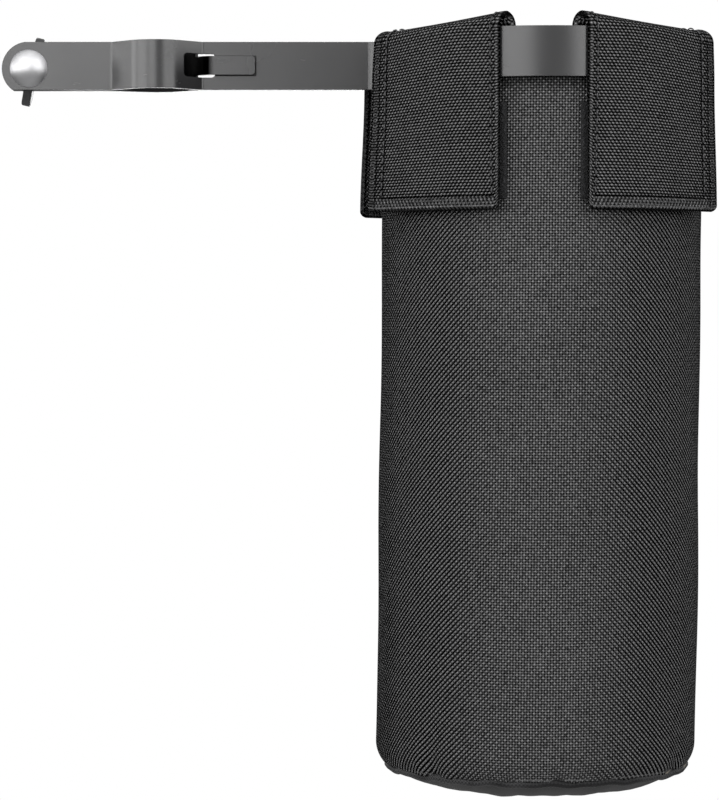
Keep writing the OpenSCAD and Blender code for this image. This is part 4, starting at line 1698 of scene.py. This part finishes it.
@dataclass
class TabFlap:
    """A tab that comes up from the rim, folds over the ring and hangs down as a flap.

    Attributes:
        quarter: which of the four it is.
        space: where the bag hangs.
        finishes: the materials.
        cloth_t: the tab's thickness.
        inner_r: radius of the tab's inner face at the rim.
        outer_r: radius of the flap's outer face at the gap edge.
        gap_w: the gap between two flaps.
        rim_gap_w: the same gap where the tabs leave the rim.
        foot_z: where the fold starts on both sides of the ring.
        tight_rise: height of the fold's middle surface above the foot where it lies tight.
        loose_rise: what the fold at the gap rises above that.
        settle_angle: the angle over which the loose fold settles.
        shoulder: how much lower the fold's outer shoulder starts at the outer edge.
        bottom_z: the flap's lower edge.
        rim_z: where the tab leaves the rim.
        hem_rise: how much thicker the hems are than the panel.
        corner_r: radius of the lower corners.
        crowding: how much closer columns and rows lie towards the edges.
        bend_length: how far under the foot the flap still bends when it lifts; not used.
        hook_t: thickness of the hook strip.
        loop_t: thickness of the loop strip.
        pile_gap: the gap between the two.
        across_count: how many points go across the tab.
        leg_rows: how many rows lie between the rim and the fold.
        arch_rows: how many go over the ring.
        hang_rows: how many hang down from the fold.
    """

    quarter: Quarter
    space: BagSpace
    finishes: Finishes
    cloth_t: float = 0.0014
    inner_r: float = 0.052
    outer_r: float = 0.0573
    gap_w: float = 0.0279
    rim_gap_w: float = 0.018
    foot_z: float = 0.008
    tight_rise: float = -0.0002
    loose_rise: float = 0.00415
    settle_angle: float = math.radians(20.2)
    shoulder: float = 0.0034
    bottom_z: float = -0.0501
    rim_z: float = 0.0002
    hem_rise: float = 0.00035
    corner_r: float = 0.0018
    crowding: float = 0.12
    bend_length: float = 0.018
    hook_t: float = 0.0009
    loop_t: float = 0.0013
    pile_gap: float = 0.0003
    across_count: int = 110
    leg_rows: int = 8
    arch_rows: int = 22
    hang_rows: int = 120

    @property
    def gap_angle(self) -> float:
        """Angle of the flap's gap edge from the middle of the gap."""
        return math.asin(self.gap_w / 2 / self.outer_r)

    @property
    def outer_angle(self) -> float:
        """Angle of the flap's outer edge from the middle of the gap."""
        return math.radians(self.quarter.outer_angle)

    def place(self, radius: Array, angle: Array, z: Array) -> Array:
        """Points at an angle from the middle of the gap towards the outer edge."""
        angle = angle + math.radians(self.quarter.own_turn)
        x = -self.quarter.side * radius * np.sin(angle)
        y = -self.quarter.face * radius * np.cos(angle)
        turn = self.space.turn
        across = self.space.x + x * math.cos(turn) + y * math.sin(turn)
        ahead = self.space.y - x * math.sin(turn) + y * math.cos(turn)
        return np.stack(np.broadcast_arrays(across, ahead, z), axis=-1)

    def surface(self) -> tuple[Array, Array]:
        """The tab's middle surface and its weave map.

        Returns:
            Points, rows x columns x 3, from the rim over the ring to the lower edge, with the
            gap edge first, and the weave map, rows x columns x 2.
        """
        half = self.cloth_t / 2
        near = self.inner_r + half
        # Columns lie closer together towards both edges, where the hems turn
        share = np.linspace(0.0, 1.0, self.across_count)
        share = share - self.crowding * np.sin(2 * math.pi * share)
        wide = self.outer_angle - self.gap_angle
        loose = np.exp(-((wide * share / self.settle_angle) ** 1.3))
        lift = self.tight_rise + self.loose_rise * loose
        foot = self.foot_z - self.shoulder * smooth_step(share, 0.25, 1.0)
        leg = np.linspace(self.rim_z, self.foot_z, self.leg_rows, endpoint=False)
        turn = np.linspace(math.pi, 0.0, self.arch_rows)
        down = np.linspace(0.0, 1.0, self.hang_rows + 1)[1:]
        down = down + self.crowding * np.sin(math.pi * down)
        edge = np.minimum(share, 1 - share) * wide * self.outer_r
        cut = np.maximum(self.corner_r - edge, 0.0)
        ends = self.bottom_z + self.corner_r - np.sqrt(self.corner_r**2 - cut**2)
        even = np.ones_like(share)
        steps = [(0.0, z * even) for z in leg]
        for a in turn:
            base = foot if a < math.pi / 2 else self.foot_z
            height = base + (self.foot_z + lift - base) * math.sin(a)
            steps.append(((1 + math.cos(a)) / 2, height))
        steps += [(1.0, foot + (ends - foot) * d) for d in down]
        outward = np.array([step for step, _ in steps])[:, None]
        z = np.stack([height for _, height in steps])
        far = self.outer_r - half + self.quarter.stand(share, z)
        radius = near + (far - near) * outward + self.stand_off(share, z) * (outward > 0.99)
        rim_angle = math.asin(self.rim_gap_w / 2 / self.space.wall_r)
        start = rim_angle + (self.gap_angle - rim_angle) * outward
        points = self.place(radius, start + (self.outer_angle - start) * share, z)
        along = self.walked(points, 0).mean(axis=1)
        return points, np.stack([self.walked(points, 1), along[:, None] * -even], axis=2)

    @staticmethod
    def walked(points: Array, axis: int) -> Array:
        """Distance of each point from the first one, down its column or along its row."""
        steps = np.linalg.norm(np.diff(points, axis=axis), axis=2)
        first = np.zeros_like(steps.take([0], axis=axis))
        return np.concatenate([first, np.cumsum(steps, axis=axis)], axis=axis)

    def stand_off(self, share: Array, z: Array) -> Array:
        """Small waves of the hanging flap and the flare of its gap edge, in metres."""
        hang = smooth_step(-z, -0.006, 0.05)
        width = (self.outer_angle - self.gap_angle) * self.outer_r
        flare = self.quarter.gap_flare * np.exp(-share * width / 0.006) * (0.3 + 0.7 * hang)
        side = self.quarter.side
        wave = 0.00022 * np.sin(share * 7 + side) + 0.00014 * np.sin(share * 19 + 1.7 * side)
        belly = 0.0003 * np.sin(np.clip(-z / 0.05, 0, 1) * math.pi) * np.sin(share * math.pi)
        return flare + wave * hang + belly

    def edges(self, points: Array) -> tuple[Array, Array, Array]:
        """Distances of each point from the gap edge, the outer edge and the lower edge."""
        from_gap, top_down = self.walked(points, 1), self.walked(points, 0)
        return from_gap, from_gap[:, -1:] - from_gap, top_down[-1:] - top_down

    @staticmethod
    def from_crest(points: Array, from_lower: Array) -> Array:
        """Distance below the fold's crest, on the flap's side; less than 0 behind the crest."""
        top = np.argmax(points[:, :, 2], axis=0)
        return from_lower[top, np.arange(points.shape[1])] - from_lower

    def outer_lift(self, from_gap: Array, from_outer: Array, from_lower: Array) -> Array:
        """Height of the outer face over the middle surface: full hems, seams and the panel."""
        half = self.cloth_t / 2
        share = MARKS.share(from_gap, from_outer, from_lower)
        edge = np.minimum(np.minimum(from_gap, from_outer), from_lower)
        rounding = np.sqrt(1 - (1 - np.clip(edge / 0.0011, 0.0, 1.0)) ** 2)
        plump = np.sin(np.clip(share, 0.0, 1.0) * math.pi) ** 0.5 * 0.00012
        hem = (half + self.hem_rise) * rounding + plump
        seam = 0.0004 * np.exp(-(((share - 1.02) / 0.11) ** 2))
        for line in MARKS.outer_lines:
            seam = seam + 0.0002 * np.exp(-(((from_outer - line) / 0.0003) ** 2))
        panel = half + self.hem_rise * (1 - smooth_step(share, 0.95, 1.2))
        return np.where(share < 1.0, hem, panel) - seam * smooth_step(edge, 0.0, 0.001)

    def inner_lift(self, edge: Array) -> Array:
        """Depth of the inner face under the middle surface."""
        half = self.cloth_t / 2
        return half * np.sqrt(1 - (1 - np.clip(edge / self.cloth_t, 0.0, 1.0)) ** 2)

    @staticmethod
    def line_at(grid: Array, distance: Array, target: float) -> Array:
        """The point of each row of a grid at a distance from one of its edges."""
        found = []
        for line, measured in zip(grid, distance):
            order = np.argsort(measured)
            found.append([np.interp(target, measured[order], line[order, a]) for a in range(3)])
        return np.array(found)

    def build(self) -> None:
        """Builds the tab, its stitches and its two halves of the closure."""
        points, weave = self.surface()
        normals = grid_normals(points)
        middle = self.across_count // 2
        if normals[-1, middle] @ (points[-1, middle] - [self.space.x, self.space.y, 0.0]) < 0:
            normals = -normals
        distances = self.edges(points)
        edge = np.minimum.reduce(distances)
        from_crest = self.from_crest(points, distances[2])
        crest = np.exp(-((from_crest / 0.003) ** 2))
        thin = 1 - 0.4 * crest * smooth_step(np.linspace(0.0, 1.0, self.across_count), 0.3, 0.9)
        lift = self.outer_lift(*distances)
        even = np.minimum(lift, self.cloth_t / 2 + self.hem_rise * 0.6)
        lift = lift + (even - lift) * crest
        outer = points + normals * (lift * thin)[:, :, None]
        inner = points - normals * (self.inner_lift(edge) * thin)[:, :, None]
        maps = {
            WEAVE_MAP: weave,
            SIDES_MAP: np.stack(distances[:2], axis=2),
            LOWER_MAP: np.stack([distances[0], distances[2]], axis=2),
            CREST_MAP: np.stack([distances[0], from_crest], axis=2),
        }
        name, foot = self.quarter.name, self.leg_rows
        pieces = []
        for kind, part in (("tab", slice(0, foot + 1)), ("flap_cloth", slice(foot, None))):
            cut = {key: grid[part] for key, grid in maps.items()}
            pieces.append(layered(f"{kind}_{name}", outer[part], inner[part], **cut))
        tab, cloth = pieces
        self.finishes.fit(tab, "flap_nylon", "root", f"fold_{name}")
        self.finishes.dress(cloth, "flap_nylon")
        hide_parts(f"flap_{name}")
        self.bend(cloth)
        count = self.sew(points[foot:], normals[foot:], [d[foot:] for d in distances])
        self.closure()
        LOG.info("%s: %d faces, %d stitches", cloth.name, len(cloth.data.polygons), count)

    def bend(self, piece: bpy.types.Object) -> None:
        """Bakes a piece of the flap's place into its mesh."""
        low = (self.space.x, self.space.y, self.foot_z - self.bend_length)
        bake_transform(piece)

    def sew(self, points: Array, normals: Array, distances: list[Array]) -> int:
        """Sews the hems down, in their seams.

        Args:
            points: the middle surface from the fold to the lower edge.
            normals: its normals.
            distances: the distances from the gap edge, the outer edge and the lower edge.

        Returns:
            How many stitches were sewn.
        """
        maker = MeshMaker(f"flap_stitches_{self.quarter.name}")
        from_gap, from_outer, from_lower = distances
        sunk = self.cloth_t / 2 + self.hem_rise - 0.0003
        count = 0
        rows = [
            (points, normals, from_gap, MARKS.gap * 1.02, MARKS.lower),
            (points, normals, from_outer, MARKS.outer * 1.02, MARKS.lower),
        ]
        swapped = (points.transpose(1, 0, 2), normals.transpose(1, 0, 2), from_lower.T)
        rows.append((*swapped, MARKS.lower_row, MARKS.gap))
        for grid, facing, distance, target, stop in rows:
            for sign, height in ((1.0, sunk), (-1.0, self.cloth_t / 2)):
                line = self.line_at(grid, distance, target)
                up = unit(self.line_at(facing, distance, target)) * sign
                walked = np.linalg.norm(np.diff(line, axis=0), axis=1)[::-1].cumsum()[::-1]
                keep = np.append(walked > stop, False)
                count += StitchLine().sew(maker, (line + up * height)[keep], up[keep])
        piece = maker.make()
        self.finishes.dress(piece, "thread")
        self.bend(piece)
        return count

    def closure(self) -> None:
        """The hook strip inside the flap and the loop strip on the wall."""
        name = self.quarter.name
        inset = math.radians(1.5)
        hook_r = self.outer_r - self.cloth_t - 0.0001
        loop_r = hook_r - self.hook_t - self.pile_gap
        strips = (
            (Pile.HOOK, self.gap_angle + inset, hook_r, self.hook_t, 1.0, f"flap_{name}"),
            (Pile.LOOP, self.gap_angle - inset, loop_r, self.loop_t, 0.0, "root"),
        )
        for pile, start, radius, thick, follow, body in strips:
            node = f"{pile.value}_{name}"
            low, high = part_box(node)
            end = self.outer_angle - inset
            z = np.r_[high.z, np.linspace(high.z - 0.0003, low.z + 0.0003, 40), low.z]
            angle = np.r_[start, np.linspace(start + 0.005, end - 0.005, 60), end]
            soft = np.outer(*(np.r_[0.55, np.ones(len(line) - 2), 0.55] for line in (z, angle)))
            angle, height = angle[None, :], z[:, None]
            share = np.clip((angle - self.gap_angle) / (self.outer_angle - self.gap_angle), 0, 1)
            off = self.quarter.stand(share, height) + self.stand_off(share, height)
            middle = radius - thick / 2 + off * follow
            outer = self.place(middle + thick / 2 * soft, angle, height)
            inner = self.place(middle - thick / 2 * soft, angle, height)
            grid = np.meshgrid(z, angle[0] * radius, indexing="ij")
            maps = {WEAVE_MAP: np.stack(grid[::-1], axis=2)}
            piece = layered(f"{pile.value}_strip_{name}", outer, inner, **maps)
            self.finishes.fit(piece, f"{pile.value}_tape", body, node)


# ----- Metal -----


@dataclass
class Clamp:
    """The steel: ring, arm and jaw with eased edges, and the bolt, washer and wing nut.

    Attributes:
        finishes: the materials.
        nodes: the frame's nodes, by name.
        ease: radius of the bar's eased edges.
        washer_ease: the same on the washer.
        head_h: height of the bolt's head.
        neck_half: half the width of its square neck.
        neck_length: the neck's length.
        shank_r: radius of its shank.
        thread_pitch: pitch of its thread.
        thread_depth: depth of its thread.
        nut_grain: size of the cells that round the wing nut's edges.
    """

    finishes: Finishes
    nodes: dict[str, bpy.types.Object]
    ease: float = 0.0003
    washer_ease: float = 0.00018
    head_h: float = 0.0029
    neck_half: float = 0.0025
    neck_length: float = 0.002
    shank_r: float = 0.00245
    thread_pitch: float = 0.0008
    thread_depth: float = 0.00042
    nut_grain: float = 0.00022

    def copy_of(self, node: str, name: str) -> bpy.types.Object:
        """A copy of a node's mesh under a new name, with its doubles merged and flats joined."""
        mesh = self.nodes[node].data.copy()
        mesh.name = name
        work = bmesh.new()
        work.from_mesh(mesh)
        bmesh.ops.remove_doubles(work, verts=work.verts, dist=MERGE * 10)
        bmesh.ops.dissolve_limit(
            work, angle_limit=math.radians(0.5), verts=work.verts, edges=work.edges
        )
        work.to_mesh(mesh)
        work.free()
        return add_object(name, mesh)

    def ease_edges(self, piece: bpy.types.Object, width: float, segments: int = 3) -> None:
        """Rounds a copied piece's sharp edges.

        Args:
            piece: the piece.
            width: the rounding's width.
            segments: how many faces it has.
        """
        bevel = piece.modifiers.new("eased_edges", "BEVEL")
        bevel.width = width
        bevel.segments = segments
        bevel.limit_method = "ANGLE"
        bevel.angle_limit = math.radians(40)
        even = piece.modifiers.new("even_shading", "WEIGHTED_NORMAL")
        even.weight = 100
        even.keep_sharp = False
        smooth(piece)
        bake_modifiers(piece)

    def bar(self, node: str, name: str, body: str, finish: str) -> None:
        """A bent bar with eased edges.

        Args:
            node: the frame's node.
            name: the piece's name.
            body: the body it rides on.
            finish: the finish's name.
        """
        piece = self.copy_of(node, name)
        self.ease_edges(piece, self.ease)
        self.finishes.fit(piece, finish, body, node)

    def bolt(self) -> None:
        """Carriage bolt with a domed head, a square neck and a cut thread."""
        low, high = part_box("carriage_bolt")
        x, z = (low.x + high.x) / 2, (low.z + high.z) / 2
        head_r = (high.z - low.z) / 2
        head_back = low.y + self.head_h
        maker = MeshMaker("round_head_bolt")
        around = np.linspace(0.0, 2 * math.pi, 65)[:-1]

        def ring(radius: float | Array, y: float | Array) -> Array:
            """One ring of points round the bolt's line."""
            parts = np.broadcast_arrays(x + radius * np.cos(around), y, z + radius * np.sin(around))
            return np.stack(parts, axis=-1)

        dome_r = (head_r**2 + self.head_h**2) / (2 * self.head_h)
        limit = math.asin(head_r / dome_r)
        profile = [
            (dome_r * math.sin(a), low.y + dome_r * (1 - math.cos(a)))
            for a in np.linspace(0.0, limit * 0.985, 22)
        ]
        profile += [(head_r, head_back - 0.00022), (head_r - 0.00012, head_back)]
        profile += [(0.0036, head_back)]
        rows = np.stack([ring(r, y) for r, y in profile])
        zero = np.zeros((len(profile), len(around) + 1, 2))
        maker.add_grid(rows, wrap=True, **{WEAVE_MAP: zero})
        start, stop = head_back + self.neck_length, high.y
        turns = np.arange(start, stop, self.thread_pitch / 10)
        phase = around[None, :] / (2 * math.pi)
        cut = np.abs(((turns[:, None] - start) / self.thread_pitch - phase) % 1.0 - 0.5) * 2
        ends = smooth_step(turns[:, None], start, start + 0.002) * smooth_step(
            stop - turns[:, None], 0.0, 0.0004
        )
        taper = 0.0005 * (1 - smooth_step(stop - turns[:, None], 0.0, 0.0007))
        radius = self.shank_r - taper - self.thread_depth * smooth_step(1 - cut, 0.1, 0.8) * ends
        shank = np.stack([ring(r, y) for r, y in zip(radius, turns)])
        tip = np.stack([ring(radius[-1], stop), ring(radius[-1] * 0.02, stop)])
        root = ring(self.shank_r, head_back)[None]
        shank = np.concatenate([root, shank, tip])
        zero = np.zeros((len(shank), len(around) + 1, 2))
        maker.add_grid(shank, wrap=True, **{WEAVE_MAP: zero})
        half = self.neck_half
        corners = [(-half, -half), (half, -half), (half, half), (-half, half)]
        neck = np.array([[[x + a, y, z + b] for a, b in corners] for y in (head_back, start)])
        first = maker.add_grid(neck, wrap=True, **{WEAVE_MAP: np.zeros((2, 5, 2))})
        maker.add_cap(first, 4)
        maker.add_cap(first + 4, 4, flip=True)
        piece = maker.make()
        piece.data.set_sharp_from_angle(angle=math.radians(50))
        self.finishes.fit(piece, "zinc_steel", "root", "carriage_bolt")

    def nut(self) -> None:
        """Wing nut with the soft edges of a casting."""
        piece = self.copy_of("wing_nut", "cast_wing_nut")
        remesh = piece.modifiers.new("skin", "REMESH")
        remesh.mode = "VOXEL"
        remesh.voxel_size = self.nut_grain
        soften = piece.modifiers.new("soften", "CORRECTIVE_SMOOTH")
        soften.factor = 0.5
        soften.iterations = 10
        soften.use_only_smooth = True
        bake_modifiers(piece)
        smooth(piece)
        self.finishes.fit(piece, "black_nut", "wing_nut", "wing_nut")

    def washer(self) -> None:
        """Flat washer with a stamped edge."""
        piece = self.copy_of("flat_washer", "stamped_washer")
        self.ease_edges(piece, self.washer_ease, 2)
        self.finishes.fit(piece, "zinc_steel", "washer", "flat_washer")

    def build(self) -> None:
        """Builds the steel pieces."""
        self.bar("ring_arm", "bent_ring_arm", "root", "coated_steel")
        self.bar("clamp_jaw", "bent_clamp_jaw", "jaw", "coated_jaw")
        self.bolt()
        self.nut()
        self.washer()


def bake_modifiers(piece: bpy.types.Object) -> None:
    """Applies every modifier of a piece to its mesh."""
    bpy.context.view_layer.update()
    graph = bpy.context.evaluated_depsgraph_get()
    mesh = bpy.data.meshes.new_from_object(piece.evaluated_get(graph), depsgraph=graph)
    piece.modifiers.clear()
    piece.data = mesh


# ----- Studio -----


@dataclass(frozen=True)
class Softbox:
    """A rectangular lamp that looks at the holder.

    Attributes:
        name: its name.
        place: where it stands, in metres.
        size: its width and height.
        power: its power in watts.
    """

    name: str
    place: Place
    size: tuple[float, float]
    power: float


@dataclass
class Studio:
    """Camera, lamps, world and floor.

    Attributes:
        target: what the lamps look at.
        distance: from the arm's plane to the camera.
        eye: the camera's x and z.
        focal_px: focal length in pixels.
        view_h: the view's height in pixels.
        horizon_px: the row of the view that is level with the camera.
        sensor: width of the camera's sensor in millimetres.
        floor_z: height of the floor.
        floor_half: half the floor's side.
        lamps: the lamps.
    """

    target: Place = (0.06, -0.02, -0.11)
    distance: float = 1.05
    eye: tuple[float, float] = (0.0678, -0.087)
    focal_px: float = 3129.0
    view_h: float = 800.0
    horizon_px: float = 326.0
    sensor: float = 36.0
    floor_z: float = -0.75
    floor_half: float = 6.0
    lamps: tuple[Softbox, ...] = (
        Softbox("left_softbox", (-0.175, -0.78, 0.09), (0.36, 0.18), 1.12),
        Softbox("right_softbox", (0.52, -0.75, 0.09), (0.34, 0.18), 0.95),
        Softbox("left_wing", (-0.62, -0.58, 0.07), (0.55, 0.19), 2.1),
        Softbox("right_wing", (0.94, -0.54, 0.07), (0.55, 0.19), 1.75),
        Softbox("left_side", (-0.95, -0.16, 0.09), (0.42, 0.2), 1.7),
        Softbox("right_side", (1.15, -0.14, 0.09), (0.42, 0.2), 1.0),
        Softbox("left_high", (-0.42, -0.85, 0.6), (0.7, 0.7), 4.6),
        Softbox("right_high", (0.62, -0.85, 0.6), (0.7, 0.7), 4.2),
        Softbox("top_softbox", (0.06, -0.3, 1.1), (0.5, 0.5), 0.8),
        Softbox("back_softbox", (0.1, 0.95, 0.12), (0.45, 0.4), 5.0),
    )

    def camera(self) -> None:
        """Makes the camera, level but for the tilt that frames the holder."""
        data = bpy.data.cameras.new("camera")
        data.sensor_width = self.sensor
        data.lens = self.focal_px / self.view_h * self.sensor
        data.clip_start = 0.05
        eye = add_object("camera", data)
        tilt = math.atan((self.view_h / 2 - self.horizon_px) / self.focal_px)
        eye.location = (self.eye[0], -self.distance, self.eye[1])
        eye.rotation_euler = (math.pi / 2 - tilt, 0.0, 0.0)
        bpy.context.scene.camera = eye

    def light(self) -> None:
        """Makes the lamps."""
        for lamp in self.lamps:
            data = bpy.data.lights.new(lamp.name, "AREA")
            data.shape = "RECTANGLE"
            data.size, data.size_y = lamp.size
            data.energy = lamp.power
            made = add_object(lamp.name, data)
            made.location = lamp.place
            aim = Vector(self.target) - Vector(lamp.place)
            made.rotation_euler = aim.to_track_quat("-Z", "Y").to_euler()
            made.visible_camera = False

    @staticmethod
    def world() -> None:
        """White where it is seen, soft grey where it lights."""
        world = bpy.data.worlds.new("studio")
        world.use_nodes = True
        nodes = Nodes(world.node_tree)
        path = nodes.node("ShaderNodeLightPath")
        rays = ("Is Camera Ray", "Is Glossy Ray", "Is Transmission Ray")
        camera, glossy, through = (Value(nodes, path.outputs[ray]) for ray in rays)
        inputs = {0: camera.at_least(glossy).at_least(through)}
        for slot, strength in ((1, 0.1), (2, 1.0)):
            content = {"Color": WHITE, "Strength": strength}
            inputs[slot] = nodes.value("ShaderNodeBackground", None, content)
        mixed = nodes.value("ShaderNodeMixShader", None, inputs)
        nodes.node("ShaderNodeOutputWorld", inputs={"Surface": mixed})
        bpy.context.scene.world = world

    @staticmethod
    def floor_paint() -> bpy.types.Material:
        """Pale under the holder, where its shadow lies, and white like the world far from it."""
        shader = Shader("pale_floor")
        shader.finish(Base_Color=(0.93, 0.93, 0.93), Roughness=0.9, Specular_IOR_Level=0.1)
        length = {"operation": "LENGTH"}
        away = shader.value("ShaderNodeVectorMath", length, {0: shader.place()}, 1)
        seen = shader.value("ShaderNodeLightPath", None, {})
        white = shader.value("ShaderNodeEmission", None, {"Strength": 1.0})
        share = (away.step(1.5, 2.6) * 0.4 + 0.6) * seen
        inputs = {0: share, 1: shader.principled.outputs[0], 2: white}
        mixed = shader.value("ShaderNodeMixShader", None, inputs)
        shader.put(shader.output.inputs["Surface"], mixed)
        return shader.material

    def floor(self) -> None:
        """A pale floor well below the hanging bag."""
        maker = MeshMaker("floor")
        side = self.floor_half
        corners = np.array([[[-side, -side], [-side, side]], [[side, -side], [side, side]]])
        level = np.full((2, 2, 1), self.floor_z)
        maker.add_grid(np.concatenate([corners, level], axis=2), flip=True)
        floor = maker.make()
        floor.data.materials.append(self.floor_paint())

    def build(self) -> None:
        """Makes everything round the holder."""
        bpy.context.scene.view_settings.view_transform = "Standard"
        self.camera()
        self.light()
        self.world()
        self.floor()


def main() -> None:
    """Loads the frame and builds the holder and the studio around it."""
    logging.basicConfig(level=logging.INFO, format="%(name)s: %(message)s")
    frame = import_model()
    finishes = Finishes()
    space = BagSpace.from_frame()
    Studio().build()
    finishes.dress(frame["nodes"]["base_board"], "fibre_board")
    Bag(space, finishes).build()
    for quarter in QUARTERS:
        TabFlap(quarter, space, finishes).build()
    Clamp(finishes, frame["nodes"]).build()


if __name__ == "__main__":
    main()
